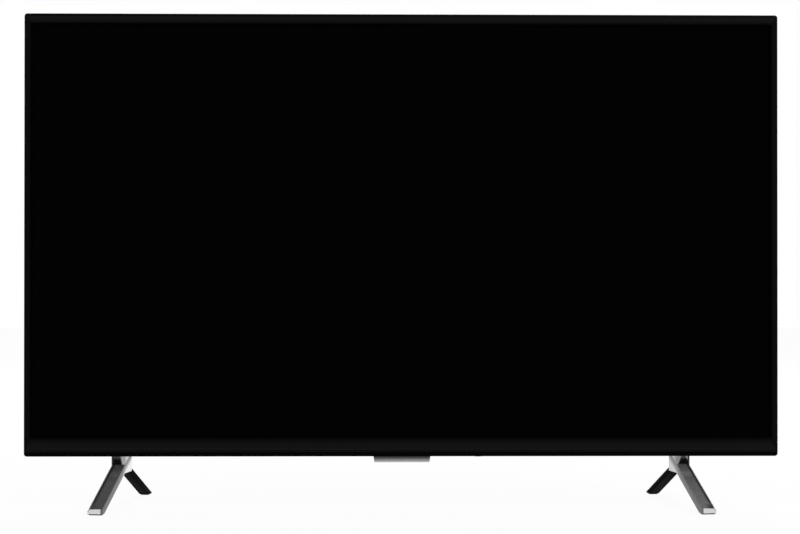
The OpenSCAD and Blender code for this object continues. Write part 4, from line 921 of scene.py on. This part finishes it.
def pieceFrom(shape, name, materials):
    mesh = bpy.data.meshes.new(name)
    shape.to_mesh(mesh)
    shape.free()
    piece = bpy.data.objects.new(name, mesh)
    scene.collection.objects.link(piece)
    for paint in materials:
        mesh.materials.append(paint)
    return piece


def roundEdges(piece, width, segments, angle=24):
    for face in piece.data.polygons:
        face.use_smooth = True
    bevel = piece.modifiers.new("edge", "BEVEL")
    bevel.width = width
    bevel.segments = segments
    bevel.limit_method = "ANGLE"
    bevel.angle_limit = math.radians(angle)
    bevel.harden_normals = True
    bevel.miter_outer = "MITER_ARC"
    return settle(piece)


def smoothSides(piece, angle=35):
    piece.data.shade_smooth()
    piece.data.set_sharp_from_angle(angle=math.radians(angle))
    return piece


def easeEdges(shape, s):
    # the long outer edges are rounded; vents, bores and bosses stay as they are
    folds = [e for e in shape.edges if len(e.link_faces) == 2 and e.is_convex]
    eased = [e for e in folds if e.calc_length() > s["length"]
             and e.calc_face_angle() > math.radians(s["angle"])
             and min(f.calc_area() for f in e.link_faces) > s["area"]]
    bmesh.ops.bevel(shape, geom=eased, offset=s["round"], segments=s["segments"], profile=0.5,
                    affect="EDGES", clamp_overlap=False)
    return len(eased)


def flatFaces(piece, area, angle):
    # a broad face shades flat, and the rounds beside it run into its normal
    mesh = piece.data
    normals = [corner.vector.copy() for corner in mesh.corner_normals]
    broad = [face for face in mesh.polygons if face.area > area]
    meets = {}
    for face in broad:
        for vert in face.vertices:
            meets.setdefault(vert, []).append(face.normal.copy())
    for face in mesh.polygons:
        for corner in face.loop_indices:
            near = meets.get(mesh.loops[corner].vertex_index, [])
            best = face.normal.copy() if face.area > area else max(near, key=face.normal.dot, default=None)
            if best and best.dot(face.normal) > math.cos(math.radians(angle)):
                normals[corner] = best
    mesh.normals_split_custom_set(normals)
    return piece


bezelEdge = {"round": 0.00025, "segments": 3, "angle": 12, "flat": 0.3, "grooveDepth": 0.0003}


def groovedBezel():
    # the front of the chin is cut along the groove, and the middle cut pushed in
    s = bezelSizes
    shape = copyShape("front_bezel", bezelEdge["flat"])
    front = min(v.co.y for v in shape.verts)
    middle = s["low"] + s["groove"]
    for height in (middle - s["grooveHalf"], middle, middle + s["grooveHalf"]):
        everything = shape.verts[:] + shape.edges[:] + shape.faces[:]
        bmesh.ops.bisect_plane(shape, geom=everything, dist=1e-7, plane_co=(0, 0, height),
                               plane_no=(0, 0, 1))
    for vert in shape.verts:
        if abs(vert.co.z - middle) < 1e-6 and vert.co.y < front + 1e-5:
            vert.co.y += bezelEdge["grooveDepth"]
    return shape


bezelPiece = roundEdges(pieceFrom(groovedBezel(), "bezelFrame", [bezelFinish()]),
                        bezelEdge["round"], bezelEdge["segments"], bezelEdge["angle"])
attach(bezelPiece, "set")
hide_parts("front_bezel")
print("bezel:", len(bezelPiece.data.polygons), "faces")

windowEdge = {"round": 0.0006, "segments": 4}
windowPiece = roundEdges(pieceFrom(copyShape("sensor_window"), "sensorLens", [windowFinish()]),
                         windowEdge["round"], windowEdge["segments"])
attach(windowPiece, "set")
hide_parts("sensor_window")
print("sensor window:", len(windowPiece.data.polygons), "faces")

legEdge = {"round": 0.0004, "segments": 3, "angle": 32, "length": 0.003, "area": 1e-6, "ridgeRound": 0.0007,
           "ridgeSegments": 4, "noseTop": 0.0075, "facing": 0.9, "sloping": 0.3, "broad": 2e-5,
           "crease": 40, "reach": 50}


def makeLeg(node, side):
    name = side + "Leg"
    sign = -1 if side == "left" else 1
    shape = copyShape(node)
    back = Matrix.Rotation(-footSizes["angle"] * sign, 3, "Z")
    facing, sloping = legEdge["facing"], legEdge["sloping"]
    lacquer, shaded, nose, wedge, inner = range(5)
    for face in shape.faces:
        normal = back @ face.normal
        outward = normal.x * sign
        if normal.y < -facing:
            face.material_index = nose if face.calc_center_median().z < legEdge["noseTop"] else wedge
        elif outward < -facing:
            face.material_index = inner
        # faces turned outwards or down take the shade finish: painted shade
        elif outward > sloping or normal.z < sloping:
            face.material_index = shaded
        else:
            face.material_index = lacquer
    # the long edge between top and inner side is well rounded, and lacquered as the top is
    ridge = [e for e in shape.edges if len(e.link_faces) == 2
             and {f.material_index for f in e.link_faces} == {lacquer, inner}]
    curved = bmesh.ops.bevel(shape, geom=ridge, offset=legEdge["ridgeRound"],
                             segments=legEdge["ridgeSegments"], profile=0.5, affect="EDGES",
                             clamp_overlap=False)
    for face in curved["faces"]:
        face.material_index = lacquer
    easeEdges(shape, legEdge)
    tones = footTones[side]
    paints = [legTopFinish(name + "Lacquer", tones), legShadeFinish(name + "Shade"),
              legNoseFinish(name + "Nose"), legWedgeFinish(name + "Wedge", tones),
              legInnerFinish(name + "Inner", tones)]
    piece = smoothSides(pieceFrom(shape, name, paints), legEdge["crease"])
    flatFaces(piece, legEdge["broad"], legEdge["reach"])
    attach(piece, "set")
    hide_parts(node)
    return piece


legs = [makeLeg(side + "_leg", side) for side in ("left", "right")]
print("legs:", [len(leg.data.polygons) for leg in legs], "faces")

coverEdge = {"round": 0.0008, "segments": 3, "angle": 14, "length": 0.006, "area": 2.5e-4, "flat": 0.3,
             "crease": 40}
coverShape = copyShape("rear_cover", coverEdge["flat"])
print("cover edges eased:", easeEdges(coverShape, coverEdge))
coverPiece = smoothSides(pieceFrom(coverShape, "rearCover", [finishes["cover_black"]]), coverEdge["crease"])
# rounded edges take the bend, so that the broad faces shade flat
coverPiece.modifiers.new("flatFaces", "WEIGHTED_NORMAL").keep_sharp = True
settle(coverPiece)
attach(coverPiece, "set")
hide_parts("rear_cover")
print("rear cover:", len(coverPiece.data.polygons), "faces")

strutEdge = {"round": 0.00025, "segments": 3}
strutPiece = roundEdges(pieceFrom(copyShape("rear_struts"), "rearStruts", [strutFinish()]),
                        strutEdge["round"], strutEdge["segments"])
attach(strutPiece, "set")
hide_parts("rear_struts")
print("struts:", len(strutPiece.data.polygons), "faces")


def solidsOf(node):
    # low and high corner of each separate solid of a node, from the bottom up
    shape = merged(node)
    left = set(shape.verts)
    boxes = []
    while left:
        reach = [left.pop()]
        group = []
        while reach:
            vert = reach.pop()
            group.append(vert.co.copy())
            found = [e.other_vert(vert) for e in vert.link_edges if e.other_vert(vert) in left]
            left.difference_update(found)
            reach.extend(found)
        boxes.append(tuple(Vector([pick(c[i] for c in group) for i in range(3)]) for pick in (min, max)))
    shape.free()
    return sorted(boxes, key=lambda box: (round(box[0].z, 4), round(box[0].x, 4)))


# cover screws: domed heads with a cross recess, each left at its own turn

coverScrew = {"Head Radius": 0.0034, "Head Height": 0.0014, "Dome": 0.0005, "Recess Length": 0.0040,
              "Recess Width": 0.0008, "Recess Depth": 0.0009, "Shank Radius": 0.0015,
              "Shank Length": 0.0131, "Sides": 32, "Rings": 6, "Shank Sides": 20, "Seed": 7}


def makeCoverScrews():
    boxes = solidsOf("cover_screws")
    p = Pattern("crossRecessScrew", coverScrew)
    radius, height = p.size("Head Radius"), p.size("Head Height")
    disc = p.make("GeometryNodeMeshCylinder", {"fill_type": "TRIANGLE_FAN"},
                  {"Vertices": p.size("Sides"), "Side Segments": 1, "Fill Segments": p.size("Rings"),
                   "Radius": radius, "Depth": height})
    x, y, z = p.axes()
    fall = (x * x + y * y) / (radius * radius) * p.size("Dome") * (z > 0)
    dome = p.make("GeometryNodeSetPosition", None,
                  {"Geometry": disc, "Offset": p.spot(0.0, 0.0, height * -0.5 - fall)})
    recess = p.spot(p.size("Recess Length"), p.size("Recess Width"), p.size("Recess Depth") * 2)
    arm = p.make("GeometryNodeMeshCube", None, {"Size": recess})
    crossArm = p.shifted(arm, (0, 0, 0), (0, 0, math.pi / 2))
    head = p.make("GeometryNodeMeshBoolean", {"operation": "DIFFERENCE", "solver": "EXACT"},
                  {"Mesh 1": dome, "Mesh 2": [arm, crossArm], "Self Intersection": True})
    rod = p.make("GeometryNodeMeshCylinder", {"fill_type": "NGON"},
                 {"Vertices": p.size("Shank Sides"), "Radius": p.size("Shank Radius"),
                  "Depth": p.size("Shank Length")})
    shank = p.shifted(rod, p.spot(0.0, 0.0, height * -1 - p.size("Shank Length") / 2))
    screw = p.make("GeometryNodeJoinGeometry", None, {"Geometry": [head, shank]})
    places = p.make("NodeGroupInput", out="Geometry")
    spin = p.make("FunctionNodeRandomValue", {"data_type": "FLOAT"},
                  {2: 0.0, 3: math.pi, 8: p.size("Seed")}, 1)
    laid = p.make("GeometryNodeRotateInstances", None,
                  {"Instances": p.onPoints(places, screw, (-math.pi / 2, 0, 0)),
                   "Rotation": p.spot(0.0, 0.0, spin)})
    p.close(laid, screwFinish())
    tops = [((low.x + high.x) / 2, high.y, (low.z + high.z) / 2) for low, high in boxes]
    depth = boxes[0][1].y - boxes[0][0].y
    return smoothSides(p.use("coverScrews", tops, {"Shank Length": depth - coverScrew["Head Height"]}))


screwPiece = makeCoverScrews()
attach(screwPiece, "set")
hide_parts("cover_screws")
print("cover screws:", len(screwPiece.data.polygons), "faces")


# power button: dished face under the chin, flange and stem inside

powerButton = {"radius": 0.0045, "dish": 0.0004, "lip": 0.0006, "flange": 0.0012, "flangeTop": 0.0053,
               "stem": 0.0015, "steps": 56, "dishRings": 6, "lipTurns": (22.5, 45, 67.5, 90)}


def lathe(profile, x, y, steps):
    # (radius, height) points turned round an upright axis
    shape = bmesh.new()
    rings = []
    for radius, height in profile:
        count = steps if radius > 0 else 1
        angles = [2 * math.pi * i / count for i in range(count)]
        places = [(x + radius * math.cos(a), y + radius * math.sin(a), height) for a in angles]
        rings.append([shape.verts.new(place) for place in places])
    for low, high in zip(rings, rings[1:]):
        for i in range(steps):
            j = i + 1
            corners = [low[i % len(low)], low[j % len(low)], high[j % len(high)], high[i % len(high)]]
            shape.faces.new(list(dict.fromkeys(corners)))
    bmesh.ops.recalc_face_normals(shape, faces=shape.faces)
    return shape


def makePowerButton():
    s = powerButton
    low, high = [Vector(c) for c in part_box("power_button")]
    middle = (low + high) / 2
    inner = s["radius"] - s["lip"]
    flangeTop = low.z + s["flangeTop"]
    dish = [(inner * i / s["dishRings"], low.z + s["dish"] * (1 - (i / s["dishRings"]) ** 2))
            for i in range(s["dishRings"] + 1)]
    corner = [(inner + s["lip"] * math.sin(a), low.z + s["lip"] * (1 - math.cos(a)))
              for a in [math.radians(d) for d in s["lipTurns"]]]
    rest = [(s["radius"], flangeTop - s["flange"]), ((high.x - low.x) / 2, flangeTop - s["flange"]),
            ((high.x - low.x) / 2, flangeTop), (s["stem"], flangeTop), (s["stem"], high.z), (0.0, high.z)]
    shape = lathe(dish + corner + rest, middle.x, middle.y, s["steps"])
    return smoothSides(pieceFrom(shape, "powerButton", [buttonFinish()]))


buttonPiece = makePowerButton()
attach(buttonPiece, "button")
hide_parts("power_button")
print("power button:", len(buttonPiece.data.polygons), "faces")


# speaker surrounds: a rubber roll from basket to cone, in sectors

surroundRoll = {"overlap": 0.001, "thick": 0.0005, "thinner": 0.0001, "roll": 0.0019, "rise": 0.8,
                "lip": 0.0007, "lipDrop": 0.0002, "rollSteps": 10, "sectors": 8, "sectorSteps": 6}


def surroundProfile(rim, low):
    # (radius, height) points: flange under the cone, over the roll to the lip, and back beneath
    s = surroundRoll
    reach = s["roll"] / 2
    edge = rim + s["roll"]
    top = low + s["thick"]
    lipTop = top - s["lipDrop"]
    bends = [math.pi * i / s["rollSteps"] for i in range(s["rollSteps"] + 1)]
    over = [(rim + reach - reach * math.cos(a), top + reach * s["rise"] * math.sin(a)) for a in bends]
    hollow = reach - s["thinner"]
    under = [(rim + reach + hollow * math.cos(a), low + hollow * s["rise"] * math.sin(a)) for a in bends]
    flange = [(rim - s["overlap"], low), (rim - s["overlap"], top)]
    lip = [(edge, lipTop), (edge + s["lip"], lipTop), (edge + s["lip"], low)]
    return flange + over + lip + under


def makeSurround(side):
    s = surroundRoll
    node = side + "_surround"
    low, high = [Vector(c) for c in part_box(node)]
    coneLow, coneHigh = [Vector(c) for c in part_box(side + "_cone")]
    centre = (low + high) / 2
    rim = (coneHigh.x - coneLow.x) / 2
    profile = surroundProfile(rim, low.z)
    half = math.pi / s["sectors"]
    for number in range(s["sectors"]):
        middle = 2 * half * number
        angles = [middle + half * (2 * i / s["sectorSteps"] - 1) for i in range(s["sectorSteps"] + 1)]
        shape = bmesh.new()
        rings = [[shape.verts.new((centre.x + r * math.cos(a), centre.y + r * math.sin(a), height))
                  for r, height in profile] for a in angles]
        for near, far in zip(rings, rings[1:]):
            for i in range(len(profile)):
                shape.faces.new((near[i - 1], near[i], far[i], far[i - 1]))
        for end in (rings[0], rings[-1]):
            shape.faces.new(end)
        bmesh.ops.recalc_face_normals(shape, faces=shape.faces)
        piece = smoothSides(pieceFrom(shape, side + "Surround" + str(number + 1), [finishes["soft_black"]]))
        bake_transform(piece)
        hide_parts(node)


for side in ("left", "right"):
    makeSurround(side)
print("surrounds:", surroundRoll["sectors"], "sectors each")


# gold strips on the tongues of the side sockets

socketStrip = {"Strip Length": 0.006, "Strip Width": 0.0005, "Strip Thick": 0.00016, "Taper": 0.8,
               "Steps": 9}
tongues = {"nose": 0.0095, "front": 0.002576, "frontCount": 10, "back": 0.003576, "backCount": 9,
           "spacing": 0.026, "pitch": 0.001, "wideNose": 0.0112, "wideFront": 0.0034, "wideStrip": 0.001,
           "wideRow": (-0.0035, -0.001, 0.001, 0.0035)}


def makeStrips():
    s = tongues
    p = Pattern("contactStrip", socketStrip)
    length = p.size("Strip Length")
    size = p.spot(length, p.size("Strip Thick"), p.size("Strip Width"))
    bar = p.make("GeometryNodeMeshCube", None, {"Size": size, "Vertices X": p.size("Steps")})
    x, y, z = p.axes()
    share = abs(x) / length * 2
    thinner = y * share ** 4 * p.size("Taper")
    eased = p.make("GeometryNodeSetPosition", None,
                   {"Geometry": bar, "Offset": p.spot(0.0, thinner * -1, 0.0)})
    gold = dappled("goldStrip", 0.0007, 3, ("#b98a2e", "#e8c878"), (0.18, 0.15), others={"Metallic": 1.0})
    p.close(p.onPoints(p.make("NodeGroupInput", out="Geometry"), eased), gold)
    low, high = [Vector(c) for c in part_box("hdmi_sockets")]
    middle = (low.z + high.z) / 2
    along = low.x + s["nose"] - socketStrip["Strip Length"] / 2
    rows = [(s["front"], s["frontCount"]), (s["back"], s["backCount"])]
    narrow = [(along, low.y + deep, middle + step * s["spacing"] + (i - (count - 1) / 2) * s["pitch"])
              for step in (-1, 0, 1) for deep, count in rows for i in range(count)]
    low, high = [Vector(c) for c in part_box("usb_socket")]
    middle = (low.z + high.z) / 2
    along = low.x + s["wideNose"] - socketStrip["Strip Length"] / 2
    wide = [(along, low.y + s["wideFront"], middle + off) for off in s["wideRow"]]
    return p.use("narrowContacts", narrow), p.use("wideContacts", wide, {"Strip Width": s["wideStrip"]})


for strips in makeStrips():
    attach(strips, "set")
    print(strips.name + ":", len(strips.data.polygons), "faces")
